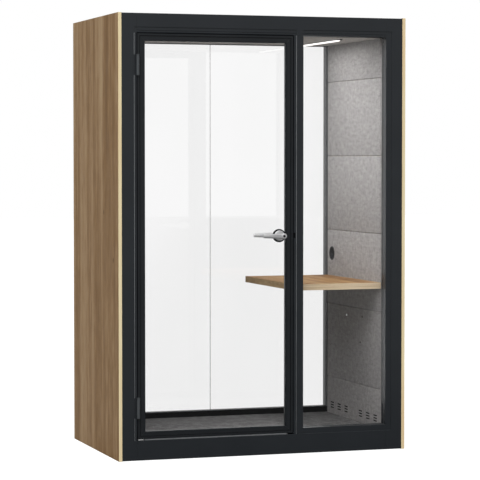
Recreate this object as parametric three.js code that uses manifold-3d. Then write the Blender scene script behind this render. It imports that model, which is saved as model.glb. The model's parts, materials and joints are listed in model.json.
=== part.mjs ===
import * as THREE from "three";
import { mergeVertices } from "three/addons/utils/BufferGeometryUtils.js";
import Module from "manifold-3d";

const wasm = await Module();
wasm.setup();

// Acoustic office pod in millimetres, +Z up. The origin lies on the floor under the middle of the pod.
// Seen from the door, +X runs to the right and +Y to the back.

// Overall sizes, and the gap left between pieces that seat on each other
const WIDTH = 1512;
const DEPTH = 917;
const HEIGHT = 2200;
const SEAT = 0.3;
const PAST = 1;

// Walls, floor and roof
const PANEL_T = 17;
const CORE_T = 77.4;
const FELT_T = 12;
const FELT_ROWS = 5;
const FELT_SEAM = 1.4;
const LINING_GROOVE = 2.5;
const DECK_T = 94;
const CARPET_T = 6.4;
const ROOF_DEPTH = 100;
const ROOF_T = 18;
const CEILING_T = 12;

// Front frame: box sections with flat bands, and a shallow recess round the door and the sidelight
const FRAME_INSET = 2;
const SECTION_WALL = 3;
const LEFT_BAND = 63;
const RIGHT_BAND = 58;
const TOP_BAND = 68;
const BOTTOM_BAND = 98;
const RECESS = 3;
const JAMB_W = 15;
const GLAZING_W = 30;
const HEAD_RECESS = 29;
const HEAD_LINE_UP = 11;
const HEAD_LINE_W = 2;
const MULLION_W = 51;
const STOP_W = 15;
const STOP_T = 18.3;
const LIGHT_SETBACK = 37;

// Door leaf: a mitred frame with a lip, a groove and a set back face, and a pane near its front
const DOOR_W = 808;
const DOOR_SIDE_GAP = 3;
const DOOR_HEAD_GAP = 2;
const DOOR_SILL_GAP = 7;
const DOOR_FRAME_W = 34;
const LIP_W = 10;
const GROOVE_W = 4;
const GROOVE_D = 6;
const FACE_SETBACK = 1.5;
const GLASS_SETBACK = 10;
const GLASS_T = 8.8;
const GLASS_BITE = 9.5;
const BEAD_T = 17.9;
const GASKET_W = 2;
const GASKET_D = 6.5;
const STOP_SEAL_T = 3.1;
const STOP_SEAL_W = 10;
const SWEEP_D = 20;
const SWEEP_SETBACK = 2;

// Lift-off barrel hinges
const HINGE_FROM_END = 154;
const HINGE_L = 102;
const KNUCKLE_R = 8;
const PIN_R = 4;
const LEAF_T = 2.5;
const LEAF_REACH = 30;

// Lever handle, latch and strike
const HANDLE_Z = 1101;
const BACKSET = 70;
const ROSETTE_R = 33;
const ROSETTE_T = 9;
const ROSETTE_WALL = 2.5;
const ROSETTE_EDGE = 2;
const NECK_R = 10;
const HUB_R = 14;
const HUB_EDGE = 3;
const HUB_FLARE = 7;
const LEVER_REACH = 80;
const LEVER_L = 109;
const GRIP_T = 12;
const GRIP_ROOT_H = 26;
const GRIP_TIP_H = 19;
const RUN_GAP = 0.5;
const SPINDLE_W = 8;
const SOCKET_D = 26;
const PLUG_R = 6;
const PLUG_D = 10;
const PLUG_PROUD = 0.6;
const KEYWAY_W = 1.4;
const KEYWAY_H = 7;
const KEYWAY_D = 4;
const CASE_H = 22;
const CASE_W = 13;
const CASE_WALL = 2.2;
const CASE_TAIL = 12;
const FACEPLATE_H = 60;
const FACEPLATE_W = 18;
const FACEPLATE_T = 2.7;
const BOLT_THROW = 10;
const BOLT_TAIL = 17;
const BOLT_BEVEL = 5;
const STRIKE_CLEAR = 1;
const STRIKE_T = 1.8;
const STRIKE_MARGIN = 5;

// Back frame and its two panes
const BACK_INSET = 15;
const BACK_DEPTH = 64;
const BACK_COVER = 3.4;
const BACK_SILL = 31;
const BACK_HEAD = 3;
const BACK_SETBACK = 12;
const BACK_JOINT_X = -20;
const BACK_JOINT_W = 2.4;

// Vent slots and cable port in the right wall
const VENT_PITCH = 104;
const VENT_SIDE = 3;
const VENT_ROWS = 3;
const VENT_ROW_PITCH = 14;
const VENT_FIRST_UP = 32;
const VENT_L = 48;
const VENT_H = 6.5;
const PLENUM_D = 55;
const PLENUM_H = 100;
const PLENUM_END = 15.7;
const DUCT_W = 120;
const DUCT_D = 33;
const PORT_FROM_BACK = 68;
const PORT_UP = 120.5;
const PORT_R = 36;
const PORT_WALL = 3;
const PORT_L = 62;
const PORT_PROUD = 1.2;

// Desk and its steel support
const DESK_Z = 852.5;
const DESK_T = 32.5;
const DESK_REACH = 474;
const ARM_W = 40;
const ARM_T = 6;
const ARM_END = 70;
const ARM_SPREAD = 230;
const WALL_BAR_L = 600;
const WALL_BAR_H = 70;

// Ceiling light, sensor, fan and power supply
const LIGHT_FROM_WALL = 170;
const LIGHT_FROM_BACK = 58;
const LIGHT_L = 542;
const LIGHT_W = 24;
const LIGHT_BASE_T = 3;
const DIFFUSER_W = 20;
const DIFFUSER_D = 7;
const SENSOR_FROM_LIGHT = 46;
const SENSOR_R = 9;
const SENSOR_D = 7;
const SENSOR_RIM = 2;
const SENSOR_TOP_R = 6;
const SENSOR_TOP_D = 5.6;
const FAN_X = -250;
const FAN_W = 120;
const FAN_H = 25;
const FAN_BORE_R = 56;
const FAN_HUB_R = 19;
const FAN_BASE_T = 4;
const FAN_STRUT_W = 6;
const FAN_STRUTS = 4;
const FAN_AXLE_R = 3;
const FAN_TOP_GAP = 2;
const BLADES = 7;
const BLADE_T = 2;
const BLADE_TIP_GAP = 2;
const BLADE_PITCH = 35;
const BLADE_CHORD = 22;
const AIR_SLOTS = 6;
const AIR_SLOT_L = 90;
const AIR_SLOT_W = 7;
const AIR_SLOT_PITCH = 15;
const SUPPLY_L = 180;
const SUPPLY_W = 70;
const SUPPLY_H = 45;
const SUPPLY_X = 60;
const SUPPLY_TAB = 14;
const SUPPLY_TAB_T = 3;

// Facets of round shapes, and the distance within which corners are one
const SIDES_FINE = 40;
const SIDES_SMALL = 24;
const ARC_STEPS = 6;
const WELD = 0.001;

// Planes that several pieces share
const left = -WIDTH / 2;
const right = WIDTH / 2;
const front = -DEPTH / 2;
const back = DEPTH / 2;
const frameLow = FRAME_INSET;
const frameHigh = HEIGHT - FRAME_INSET;
const frameLeft = left + PANEL_T + SEAT;
const frameRight = right - PANEL_T - SEAT;
const sillZ = frameLow + BOTTOM_BAND;
const bandZ = frameHigh - TOP_BAND;
const headZ = bandZ - HEAD_RECESS;
const jambX = left + PANEL_T + LEFT_BAND + JAMB_W;
const doorLeft = jambX + DOOR_SIDE_GAP;
const doorRight = doorLeft + DOOR_W;
const mullionLeft = doorRight + DOOR_SIDE_GAP;
const mullionRight = mullionLeft + MULLION_W;
const stileX = right - PANEL_T - RIGHT_BAND - GLAZING_W;
const doorLow = sillZ + DOOR_SILL_GAP;
const doorHigh = headZ - DOOR_HEAD_GAP;
const lightSill = sillZ + GLAZING_W;
const doorFront = front + RECESS;
const glassFront = doorFront + GLASS_SETBACK;
const glassBack = glassFront + GLASS_T;
const glassMid = (glassFront + glassBack) / 2;
const lightFront = doorFront + LIGHT_SETBACK;
const lightBack = lightFront + GLASS_T;
const doorBack = glassBack + SEAT + BEAD_T;
const stopFront = doorBack + SEAT + STOP_SEAL_T + SEAT;
const frameBack = stopFront + STOP_T;
const backOut = back - BACK_INSET;
const backIn = backOut - BACK_DEPTH;
const cabinFront = frameBack + SEAT;
const cabinBack = backIn - SEAT;
const cabinMid = (cabinFront + cabinBack) / 2;
const coreIn = PANEL_T + SEAT + CORE_T;
const feltBack = coreIn + SEAT;
const feltFace = feltBack + FELT_T;
const floorZ = DECK_T + SEAT + CARPET_T;
const ceilingZ = HEIGHT - ROOF_DEPTH;
const ceilingTop = ceilingZ + CEILING_T;
const roofLow = frameHigh - ROOF_T;

// Finishes
const finish = (color, roughness, metalness, opacity = 1) =>
  new THREE.MeshStandardMaterial({ color, roughness, metalness, opacity, transparent: opacity < 1 });
const anthracite = finish(0x2c3033, 0.5, 0.1);
const oak = finish(0x877057, 0.6, 0);
const felt = finish(0x9b9796, 0.95, 0);
const carpetGrey = finish(0x55534f, 1, 0);
const ceilingGrey = finish(0x9c9892, 0.95, 0);
const glass = finish(0xf4f6f6, 0.04, 0, 0.2);
const rubber = finish(0x15171a, 0.8, 0);
const steel = finish(0xb9bbbd, 0.3, 1);
const wool = finish(0xb8a77c, 1, 0);
const board = finish(0x8a7350, 0.8, 0);
const blackPlastic = finish(0x141416, 0.5, 0);
const opal = finish(0xfffbf5, 0.4, 0);

const pod = new THREE.Group();

// Gives a geometry shared vertices and faces that point outwards
function tidy(geometry) {
  geometry.deleteAttribute("normal");
  geometry.deleteAttribute("uv");
  const merged = mergeVertices(geometry, WELD);
  const [p, i] = [merged.getAttribute("position"), merged.getIndex()];
  const corner = (k) => new THREE.Vector3().fromBufferAttribute(p, i.getX(k));
  let volume = 0;
  for (let k = 0; k < i.count; k += 3) {
    volume += corner(k).dot(corner(k + 1).cross(corner(k + 2)));
  }
  if (volume < 0) {
    const turned = [];
    for (let k = 0; k < i.count; k += 3) {
      turned.push(i.getX(k), i.getX(k + 2), i.getX(k + 1));
    }
    merged.setIndex(turned);
  }
  return merged;
}

// Turns a geometry into a solid that can be joined and cut
function solid(geometry) {
  const closed = tidy(geometry);
  const vertProperties = new Float32Array(closed.getAttribute("position").array);
  const triVerts = new Uint32Array(closed.getIndex().array);
  const mesh = new wasm.Mesh({ numProp: 3, vertProperties, triVerts });
  mesh.merge();
  return new wasm.Manifold(mesh);
}

// Turns a solid back into a geometry
function geometryOf(body) {
  const mesh = body.getMesh();
  const geometry = new THREE.BufferGeometry();
  geometry.setAttribute("position", new THREE.BufferAttribute(mesh.vertProperties, 3));
  geometry.setIndex(new THREE.BufferAttribute(mesh.triVerts, 1));
  return geometry;
}

function join(first, ...others) {
  return geometryOf(others.reduce((body, other) => body.add(solid(other)), solid(first)));
}

function cut(first, ...tools) {
  return geometryOf(tools.reduce((body, tool) => body.subtract(solid(tool)), solid(first)));
}

function add(name, geometry, material) {
  const mesh = new THREE.Mesh(tidy(geometry), material);
  mesh.geometry.computeVertexNormals();
  mesh.name = name;
  pod.add(mesh);
}

// A block between two corners
function box(x0, x1, y0, y1, z0, z1) {
  const geometry = new THREE.BoxGeometry(x1 - x0, y1 - y0, z1 - z0);
  return geometry.translate((x0 + x1) / 2, (y0 + y1) / 2, (z0 + z1) / 2);
}

// A block given by its middle and size along Y and Z
function bar(x0, x1, y, width, z, height) {
  return box(x0, x1, y - width / 2, y + width / 2, z - height / 2, z + height / 2);
}

const outline = (points) => new THREE.Shape(points.map(([u, v]) => new THREE.Vector2(u, v)));

function extrude(shape, depth, alongU, alongV, alongDepth, origin) {
  const geometry = new THREE.ExtrudeGeometry(shape, { depth, bevelEnabled: false, curveSegments: ARC_STEPS });
  const matrix = new THREE.Matrix4().makeBasis(alongU, alongV, alongDepth).setPosition(origin);
  return geometry.applyMatrix4(matrix);
}

const [X, Y, Z] = [
  new THREE.Vector3(1, 0, 0),
  new THREE.Vector3(0, 1, 0),
  new THREE.Vector3(0, 0, 1),
];
const minus = (axis) => axis.clone().negate();

// Outlines drawn in X and Z, Y and Z, or X and Y, and extruded along the third axis
const prismY = (shape, y0, y1) => extrude(shape, y1 - y0, X, Z, minus(Y), new THREE.Vector3(0, y1, 0));
const prismX = (shape, x0, x1) => extrude(shape, x1 - x0, Y, Z, X, new THREE.Vector3(x0, 0, 0));
const prismZ = (shape, z0, z1) => extrude(shape, z1 - z0, X, Y, Z, new THREE.Vector3(0, 0, z0));

// Round rods along each axis
function rodZ(r, x, y, z0, z1, sides) {
  const geometry = new THREE.CylinderGeometry(r, r, z1 - z0, sides);
  return geometry.rotateX(Math.PI / 2).translate(x, y, (z0 + z1) / 2);
}

function rodY(r, x, z, y0, y1, sides) {
  return new THREE.CylinderGeometry(r, r, y1 - y0, sides).translate(x, (y0 + y1) / 2, z);
}

function rodX(r, y, z, x0, x1, sides) {
  const geometry = new THREE.CylinderGeometry(r, r, x1 - x0, sides);
  return geometry.rotateZ(Math.PI / 2).translate((x0 + x1) / 2, y, z);
}

// A turned shape whose axis runs along Y, from a face at y towards side (-1 to the front, 1 to the back)
function turnedY(profile, x, y, z, side) {
  const points = profile.map(([r, t]) => new THREE.Vector2(r, side * t));
  return new THREE.LatheGeometry(points, SIDES_FINE).translate(x, y, z);
}

// A slot with round ends, drawn with its length along the first axis
function slot(u, v, length, width) {
  const [r, h] = [width / 2, (length - width) / 2];
  const shape = new THREE.Shape();
  shape.absarc(u + h, v, r, -Math.PI / 2, Math.PI / 2);
  shape.absarc(u - h, v, r, Math.PI / 2, (3 * Math.PI) / 2);
  return shape;
}

// Side walls: an oak faced panel outside, an acoustic core, and felt inside
const deskLow = DESK_Z - DESK_T;
const portY = backIn - PORT_FROM_BACK;
const portZ = DESK_Z + PORT_UP;
const feltInX = right - feltFace;
const feltBackX = right - feltBack;
const coreInX = right - coreIn;
const armYs = [cabinMid - ARM_SPREAD, cabinMid + ARM_SPREAD];
const boardPitch = (ceilingZ - floorZ) / FELT_ROWS;
const seams = Array.from({ length: FELT_ROWS }, (_, k) => floorZ + boardPitch * (k + 0.5));

const ventShapes = [];
for (let column = -VENT_SIDE; column <= VENT_SIDE; column++) {
  for (let row = 0; row < VENT_ROWS && column !== 0; row++) {
    const v = floorZ + VENT_FIRST_UP + row * VENT_ROW_PITCH;
    ventShapes.push(slot(cabinMid + column * VENT_PITCH, v, VENT_L, VENT_H));
  }
}

function sidePanels() {
  add("left_side_panel", box(left, left + PANEL_T, front, back, 0, HEIGHT), oak);
  add("right_side_panel", box(right - PANEL_T, right, front, back, 0, HEIGHT), oak);
}

function acousticCores() {
  const [low, high] = [DECK_T + SEAT, roofLow - SEAT];
  add("left_acoustic_core", box(frameLeft, left + coreIn, cabinFront, cabinBack, low, high), wool);
  const plenumL = cabinBack - cabinFront - 2 * PLENUM_END;
  const plenumMid = low + PLENUM_H / 2 - PAST;
  const ducts = [
    bar(coreInX - PAST, coreInX + PLENUM_D, cabinMid, plenumL, plenumMid, PLENUM_H),
    box(coreInX - PAST, coreInX + DUCT_D, cabinMid - DUCT_W / 2, cabinMid + DUCT_W / 2, low, high + PAST),
  ];
  const pockets = [
    rodX(PORT_R + SEAT, portY, portZ, coreInX - PAST, coreInX + PORT_L, SIDES_FINE),
    bar(
      coreInX - PAST,
      coreInX + ARM_T + SEAT,
      cabinMid,
      WALL_BAR_L + 2 * SEAT,
      deskLow + ARM_T - WALL_BAR_H / 2,
      WALL_BAR_H + 2 * SEAT,
    ),
  ];
  const block = box(coreInX, frameRight, cabinFront, cabinBack, low, high);
  add("right_acoustic_core", cut(block, ...ducts, ...pockets), wool);
}

function feltBoards() {
  const low = DECK_T + SEAT;
  const edges = [low - FELT_SEAM / 2, ...seams, ceilingZ - SEAT + FELT_SEAM / 2];
  const armSlots = armYs.map((y) =>
    bar(feltInX - PAST, feltBackX + PAST, y, ARM_W + 2 * SEAT, deskLow + ARM_T / 2, ARM_T + 2 * SEAT),
  );
  const portHole = rodX(PORT_R + SEAT, portY, portZ, feltInX - PAST, feltBackX + PAST, SIDES_FINE);
  const vents = ventShapes.map((shape) => prismX(shape, feltInX - PAST, feltBackX + PAST));
  edges.slice(1).forEach((edge, k) => {
    const [z0, z1] = [edges[k] + FELT_SEAM / 2, edge - FELT_SEAM / 2];
    const plain = box(feltInX, feltBackX, cabinFront, cabinBack, z0, z1);
    add(`right_felt_board_${k + 1}`, cut(plain, ...armSlots, portHole, ...vents), felt);
  });
  const grooves = seams.map((z) =>
    bar(left + feltFace - LINING_GROOVE, left + feltFace + PAST, cabinMid, DEPTH, z, FELT_SEAM),
  );
  const lining = box(left + feltBack, left + feltFace, cabinFront, cabinBack, low, ceilingZ - SEAT);
  add("left_felt_lining", cut(lining, ...grooves), felt);
}

function cablePort() {
  const [x0, x1] = [feltInX - PORT_PROUD, coreInX + PORT_L - PAST];
  const outer = rodX(PORT_R, portY, portZ, x0, x1, SIDES_FINE);
  const bore = rodX(PORT_R - PORT_WALL, portY, portZ, x0 - PAST, x1 + PAST, SIDES_FINE);
  add("cable_port", cut(outer, bore), blackPlastic);
}

// Floor: a deck that stands on the ground between the side panels, and a carpet on it
function floor() {
  add("floor_deck", box(frameLeft, frameRight, cabinFront, cabinBack, 0, DECK_T), board);
  const [x0, x1] = [left + feltFace + SEAT, feltInX - SEAT];
  add("carpet", box(x0, x1, cabinFront, cabinBack, DECK_T + SEAT, floorZ), carpetGrey);
}

// Roof: ceiling panel, roof panel, and air slots in both at the fan
function roof() {
  const slots = (z0, z1) =>
    Array.from({ length: AIR_SLOTS }, (_, k) => {
      const y = cabinMid + (k - (AIR_SLOTS - 1) / 2) * AIR_SLOT_PITCH;
      return prismZ(slot(FAN_X, y, AIR_SLOT_L, AIR_SLOT_W), z0, z1);
    });
  const ceiling = box(left + feltBack, right - feltBack, cabinFront, cabinBack, ceilingZ, ceilingTop);
  add("ceiling_panel", cut(ceiling, ...slots(ceilingZ - PAST, ceilingTop + PAST)), ceilingGrey);
  const cover = box(frameLeft, frameRight, cabinFront, cabinBack, roofLow, frameHigh);
  add("roof_panel", cut(cover, ...slots(roofLow - PAST, frameHigh + PAST)), anthracite);
}

function ceilingLight() {
  const x = feltInX - LIGHT_FROM_WALL;
  const y1 = backIn - LIGHT_FROM_BACK;
  const y0 = y1 - LIGHT_L;
  const baseTop = ceilingZ - SEAT;
  const baseLow = baseTop - LIGHT_BASE_T;
  add("light_profile", box(x - LIGHT_W / 2, x + LIGHT_W / 2, y0, y1, baseLow, baseTop), anthracite);
  const top = baseLow - SEAT;
  const lens = new THREE.Shape();
  lens.moveTo(x - DIFFUSER_W / 2, top);
  lens.absellipse(x, top, DIFFUSER_W / 2, DIFFUSER_D, Math.PI, 2 * Math.PI);
  add("light_diffuser", prismY(lens, y0, y1), opal);
  const dome = [
    [0, 0],
    [SENSOR_R, 0],
    [SENSOR_R, SENSOR_RIM],
    [SENSOR_TOP_R, SENSOR_TOP_D],
    [0, SENSOR_D],
  ];
  const sensor = new THREE.LatheGeometry(
    dome.map(([r, t]) => new THREE.Vector2(r, -t)),
    SIDES_SMALL,
  );
  sensor.rotateX(Math.PI / 2).translate(x, y0 - SENSOR_FROM_LIGHT, ceilingZ - SEAT);
  add("motion_sensor", sensor, blackPlastic);
}

// Fan over the ceiling's air slots: a square frame with a strutted hub and axle, and a bladed rotor
const fanLow = ceilingTop + SEAT;

function fanFrame() {
  const half = FAN_W / 2;
  const shell = box(FAN_X - half, FAN_X + half, cabinMid - half, cabinMid + half, fanLow, fanLow + FAN_H);
  const bore = rodZ(FAN_BORE_R, FAN_X, cabinMid, fanLow - PAST, fanLow + FAN_H + PAST, SIDES_FINE);
  const struts = Array.from({ length: FAN_STRUTS / 2 }, (_, k) => {
    const strut = box(-half, half, -FAN_STRUT_W / 2, FAN_STRUT_W / 2, fanLow, fanLow + FAN_BASE_T);
    return strut.rotateZ((k * 2 * Math.PI) / FAN_STRUTS).translate(FAN_X, cabinMid, 0);
  });
  const hub = rodZ(FAN_HUB_R, FAN_X, cabinMid, fanLow, fanLow + FAN_BASE_T, SIDES_SMALL);
  const axle = rodZ(FAN_AXLE_R, FAN_X, cabinMid, fanLow, fanLow + FAN_H - FAN_TOP_GAP, SIDES_SMALL);
  add("fan_frame", join(cut(shell, bore), ...struts, hub, axle), blackPlastic);
}

function fanRotor() {
  const [low, high] = [fanLow + FAN_BASE_T + SEAT, fanLow + FAN_H - FAN_TOP_GAP];
  const hub = rodZ(FAN_HUB_R, 0, 0, low, high, SIDES_SMALL);
  const reach = FAN_BORE_R - BLADE_TIP_GAP;
  const pitch = (BLADE_PITCH * Math.PI) / 180;
  const blades = Array.from({ length: BLADES }, (_, k) => {
    const blade = box(0, reach, -BLADE_CHORD / 2, BLADE_CHORD / 2, -BLADE_T / 2, BLADE_T / 2);
    return blade.rotateX(pitch).translate(0, 0, (low + high) / 2).rotateZ((k * 2 * Math.PI) / BLADES);
  });
  const bore = rodZ(FAN_AXLE_R + SEAT, 0, 0, low - PAST, high + PAST, SIDES_SMALL);
  const rotor = cut(join(hub, ...blades), bore);
  add("fan_rotor", rotor.translate(FAN_X, cabinMid, 0), blackPlastic);
}

function powerSupply() {
  const x = FAN_X + FAN_W / 2 + SUPPLY_X;
  const [y0, y1] = [cabinMid - SUPPLY_W / 2, cabinMid + SUPPLY_W / 2];
  const casing = box(x, x + SUPPLY_L, y0, y1, fanLow, fanLow + SUPPLY_H);
  const tabs = box(x - SUPPLY_TAB, x + SUPPLY_L + SUPPLY_TAB, y0, y1, fanLow, fanLow + SUPPLY_TAB_T);
  add("power_supply", join(casing, tabs), steel);
}

// Front frame members, cut for the sidelight pane, the hinges and the latch
const lightPocket = box(
  mullionRight - GLASS_BITE - SEAT,
  stileX + GLASS_BITE + SEAT,
  lightFront - SEAT,
  lightBack + SEAT,
  lightSill - GLASS_BITE - SEAT,
  headZ + GLASS_BITE + SEAT,
);
const hingeX = doorLeft;
const hingeY = doorFront - KNUCKLE_R - SEAT;
const hingeZs = { upper: doorHigh - HINGE_FROM_END, lower: doorLow + HINGE_FROM_END };
const spindleX = doorRight - BACKSET;
const boltH = CASE_H - 2 * CASE_WALL - 2 * SEAT;
const boltW = CASE_W - 2 * CASE_WALL - 2 * SEAT;
const boltNose = doorRight + BOLT_THROW;
const boltBack = glassMid + boltW / 2;
const boltArc = Math.hypot(boltNose - hingeX, boltBack - hingeY);
const strikeX = hingeX + boltArc + STRIKE_CLEAR;

const mortise = (x0, x1, z) =>
  box(x0, x1, front - PAST, doorFront + LEAF_REACH + SEAT, z - HINGE_L / 2 - SEAT, z + HINGE_L / 2 + SEAT);

// The box sections are hollow: the stiles are capped at the top, and the rails are closed by the stiles
const hollowFront = front + SECTION_WALL;
const hollowBack = frameBack - SECTION_WALL;
const stileHollow = (x0, x1) =>
  box(x0, x1, doorFront + SECTION_WALL, hollowBack, frameLow - PAST, frameHigh - SECTION_WALL);

function frontLeftStile() {
  const post = box(frameLeft, jambX, front, frameBack, frameLow, frameHigh);
  const stop = box(jambX - PAST, jambX + STOP_W, stopFront, frameBack, sillZ + SEAT, headZ - SEAT);
  const recess = box(jambX - JAMB_W, jambX + PAST, front - PAST, doorFront, sillZ, bandZ);
  const mortises = Object.values(hingeZs).map((z) => mortise(jambX - LEAF_T - 2 * SEAT, jambX + PAST, z));
  const hollow = stileHollow(frameLeft + SECTION_WALL, jambX - JAMB_W);
  add("front_left_stile", cut(join(post, stop), recess, ...mortises, hollow), anthracite);
}

function frontRightStile() {
  const post = box(stileX, frameRight, front, frameBack, frameLow, frameHigh);
  const recess = box(stileX - PAST, stileX + GLAZING_W, front - PAST, doorFront, sillZ, bandZ);
  const hollow = stileHollow(stileX + GLAZING_W, frameRight - SECTION_WALL);
  add("front_right_stile", cut(post, recess, lightPocket, hollow), anthracite);
}

function frontTopRail() {
  const [x0, x1] = [jambX + SEAT, stileX - SEAT];
  const rail = box(x0, x1, front, frameBack, headZ, frameHigh);
  const stop = box(
    jambX + STOP_W + SEAT,
    mullionLeft - STOP_W - SEAT,
    stopFront,
    frameBack,
    headZ - STOP_W,
    headZ + PAST,
  );
  const recess = (a, b) => box(a, b, front - PAST, doorFront, headZ - PAST, bandZ);
  const lineZ = headZ + HEAD_LINE_UP;
  const line = (a, b) => box(a, b, front - PAST, doorFront + HEAD_LINE_W, lineZ, lineZ + HEAD_LINE_W);
  const spans = [[x0 - PAST, mullionLeft + JAMB_W], [mullionRight, x1 + PAST]];
  const cuts = spans.flatMap(([a, b]) => [recess(a, b), line(a, b)]);
  const [z0, z1] = [bandZ + SECTION_WALL, frameHigh - SECTION_WALL];
  const hollow = box(x0 - PAST, x1 + PAST, hollowFront, hollowBack, z0, z1);
  add("front_top_rail", cut(join(rail, stop), ...cuts, lightPocket, hollow), anthracite);
}

function frontBottomRail() {
  const [x0, x1] = [jambX + SEAT, stileX - SEAT];
  const rail = box(x0, x1, front, frameBack, frameLow, sillZ);
  const sill = box(mullionRight + SEAT, stileX - SEAT, doorFront, frameBack, sillZ - PAST, lightSill);
  const [z0, z1] = [frameLow + SECTION_WALL, sillZ - SECTION_WALL];
  const hollow = box(x0 - PAST, x1 + PAST, hollowFront, hollowBack, z0, z1);
  add("front_bottom_rail", cut(join(rail, sill), lightPocket, hollow), anthracite);
}

function frontMullion() {
  const [z0, z1] = [sillZ + SEAT, headZ - SEAT];
  const post = box(mullionLeft, mullionRight, front, frameBack, z0, z1);
  const stop = box(mullionLeft - STOP_W, mullionLeft + PAST, stopFront, frameBack, z0, z1);
  const recess = box(mullionLeft - PAST, mullionLeft + JAMB_W, front - PAST, doorFront, z0 - PAST, z1 + PAST);
  const notch = box(
    mullionLeft - PAST,
    strikeX + STRIKE_T + SEAT,
    front - PAST,
    boltBack + STRIKE_CLEAR,
    HANDLE_Z - boltH / 2 - STRIKE_MARGIN,
    HANDLE_Z + boltH / 2 + STRIKE_MARGIN,
  );
  const hollow = box(
    mullionLeft + JAMB_W + SECTION_WALL,
    mullionRight - GLASS_BITE - SEAT - SECTION_WALL,
    hollowFront,
    hollowBack,
    z0 - PAST,
    z1 + PAST,
  );
  add("front_mullion", cut(join(post, stop), recess, notch, lightPocket, hollow), anthracite);
}

function strikePlate() {
  const height = boltH + 2 * STRIKE_MARGIN - 2 * SEAT;
  const [y0, y1] = [doorFront, boltBack + STRIKE_CLEAR - SEAT];
  const [z0, z1] = [HANDLE_Z - height / 2, HANDLE_Z + height / 2];
  add("strike_plate", box(strikeX, strikeX + STRIKE_T, y0, y1, z0, z1), steel);
}

function sidelight() {
  const [x0, x1] = [mullionRight - GLASS_BITE, stileX + GLASS_BITE];
  const [z0, z1] = [lightSill - GLASS_BITE, headZ + GLASS_BITE];
  add("sidelight_glass", box(x0, x1, lightFront, lightBack, z0, z1), glass);
}

// The seal that the door closes on, stuck to the stop of both jambs and the head
function doorStopSeal() {
  const inset = (STOP_W + DOOR_SIDE_GAP - STOP_SEAL_W) / 2;
  const [a, d] = [jambX + inset, mullionLeft - inset];
  const [b, c] = [a + STOP_SEAL_W, d - STOP_SEAL_W];
  const top = headZ - inset;
  const under = top - STOP_SEAL_W;
  const low = sillZ + SEAT;
  const u = outline([[a, low], [b, low], [b, under], [c, under], [c, low], [d, low], [d, top], [a, top]]);
  add("door_stop_seal", prismY(u, stopFront - SEAT - STOP_SEAL_T, stopFront - SEAT), rubber);
}

// Door leaf: four mitred members, whose profile runs from the leaf's edge (u) and its front face (v)
const doorProfile = outline([
  [0, 0],
  [LIP_W, 0],
  [LIP_W, GROOVE_D],
  [LIP_W + GROOVE_W, GROOVE_D],
  [LIP_W + GROOVE_W, FACE_SETBACK],
  [DOOR_FRAME_W, FACE_SETBACK],
  [DOOR_FRAME_W, doorBack - doorFront],
  [0, doorBack - doorFront],
]);
const openLeft = doorLeft + DOOR_FRAME_W;
const openRight = doorRight - DOOR_FRAME_W;
const openLow = doorLow + DOOR_FRAME_W;
const openHigh = doorHigh - DOOR_FRAME_W;
const doorPocket = box(
  openLeft - GLASS_BITE - SEAT,
  openRight + GLASS_BITE + SEAT,
  glassFront - SEAT,
  glassBack + SEAT,
  openLow - GLASS_BITE - SEAT,
  openHigh + GLASS_BITE + SEAT,
);
const caseHole = bar(
  spindleX - CASE_TAIL - SEAT,
  doorRight + PAST,
  glassMid,
  CASE_W + 2 * SEAT,
  HANDLE_Z,
  CASE_H + 2 * SEAT,
);

function mitred(length, alongU, alongLength, origin, gap) {
  const raw = new THREE.ExtrudeGeometry(doorProfile, { depth: length, bevelEnabled: false });
  const p = raw.getAttribute("position");
  for (let k = 0; k < p.count; k++) {
    const inset = p.getX(k) + gap;
    p.setZ(k, p.getZ(k) < length / 2 ? inset : length - inset);
  }
  const matrix = new THREE.Matrix4().makeBasis(alongU, Y, alongLength).setPosition(origin);
  return raw.applyMatrix4(matrix);
}

function doorFrame() {
  const [tall, wide] = [doorHigh - doorLow, doorRight - doorLeft];
  const corner = (x, z) => new THREE.Vector3(x, doorFront, z);
  const leafSeat = doorLeft + LEAF_T + 2 * SEAT;
  const mortises = Object.values(hingeZs).map((z) => mortise(doorLeft - PAST, leafSeat, z));
  const hingeStile = mitred(tall, X, Z, corner(doorLeft, doorLow), 0);
  add("door_hinge_stile", cut(hingeStile, doorPocket, ...mortises), anthracite);
  const lockStile = mitred(tall, minus(X), minus(Z), corner(doorRight, doorHigh), 0);
  const plateSeat = bar(
    doorRight - FACEPLATE_T - 2 * SEAT,
    doorRight + PAST,
    glassMid,
    FACEPLATE_W + 2 * SEAT,
    HANDLE_Z,
    FACEPLATE_H + 2 * SEAT,
  );
  add("door_lock_stile", cut(lockStile, doorPocket, caseHole, plateSeat), anthracite);
  const topRail = mitred(wide, minus(Z), X, corner(doorLeft, doorHigh), SEAT);
  add("door_top_rail", cut(topRail, doorPocket), anthracite);
  const bottomRail = mitred(wide, Z, minus(X), corner(doorRight, doorLow), SEAT);
  add("door_bottom_rail", cut(bottomRail, doorPocket), anthracite);
}

function doorGlazing() {
  const pane = box(
    openLeft - GLASS_BITE,
    openRight + GLASS_BITE,
    glassFront,
    glassBack,
    openLow - GLASS_BITE,
    openHigh + GLASS_BITE,
  );
  add("door_glass", cut(pane, caseHole), glass);
  const [y0, y1] = [glassFront - SEAT - GASKET_D, glassFront - SEAT];
  const rim = (d, a, b) => box(openLeft + d, openRight - d, a, b, openLow + d, openHigh - d);
  const ring = cut(rim(SEAT, y0, y1), rim(SEAT + GASKET_W, y0 - PAST, y1 + PAST), caseHole);
  add("door_gasket", ring, rubber);
}

function doorBottomSeal() {
  const y0 = doorFront + SWEEP_SETBACK;
  add("door_bottom_seal", box(openLeft, openRight, y0, y0 + SWEEP_D, sillZ + SEAT, doorLow - SEAT), steel);
}

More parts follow.
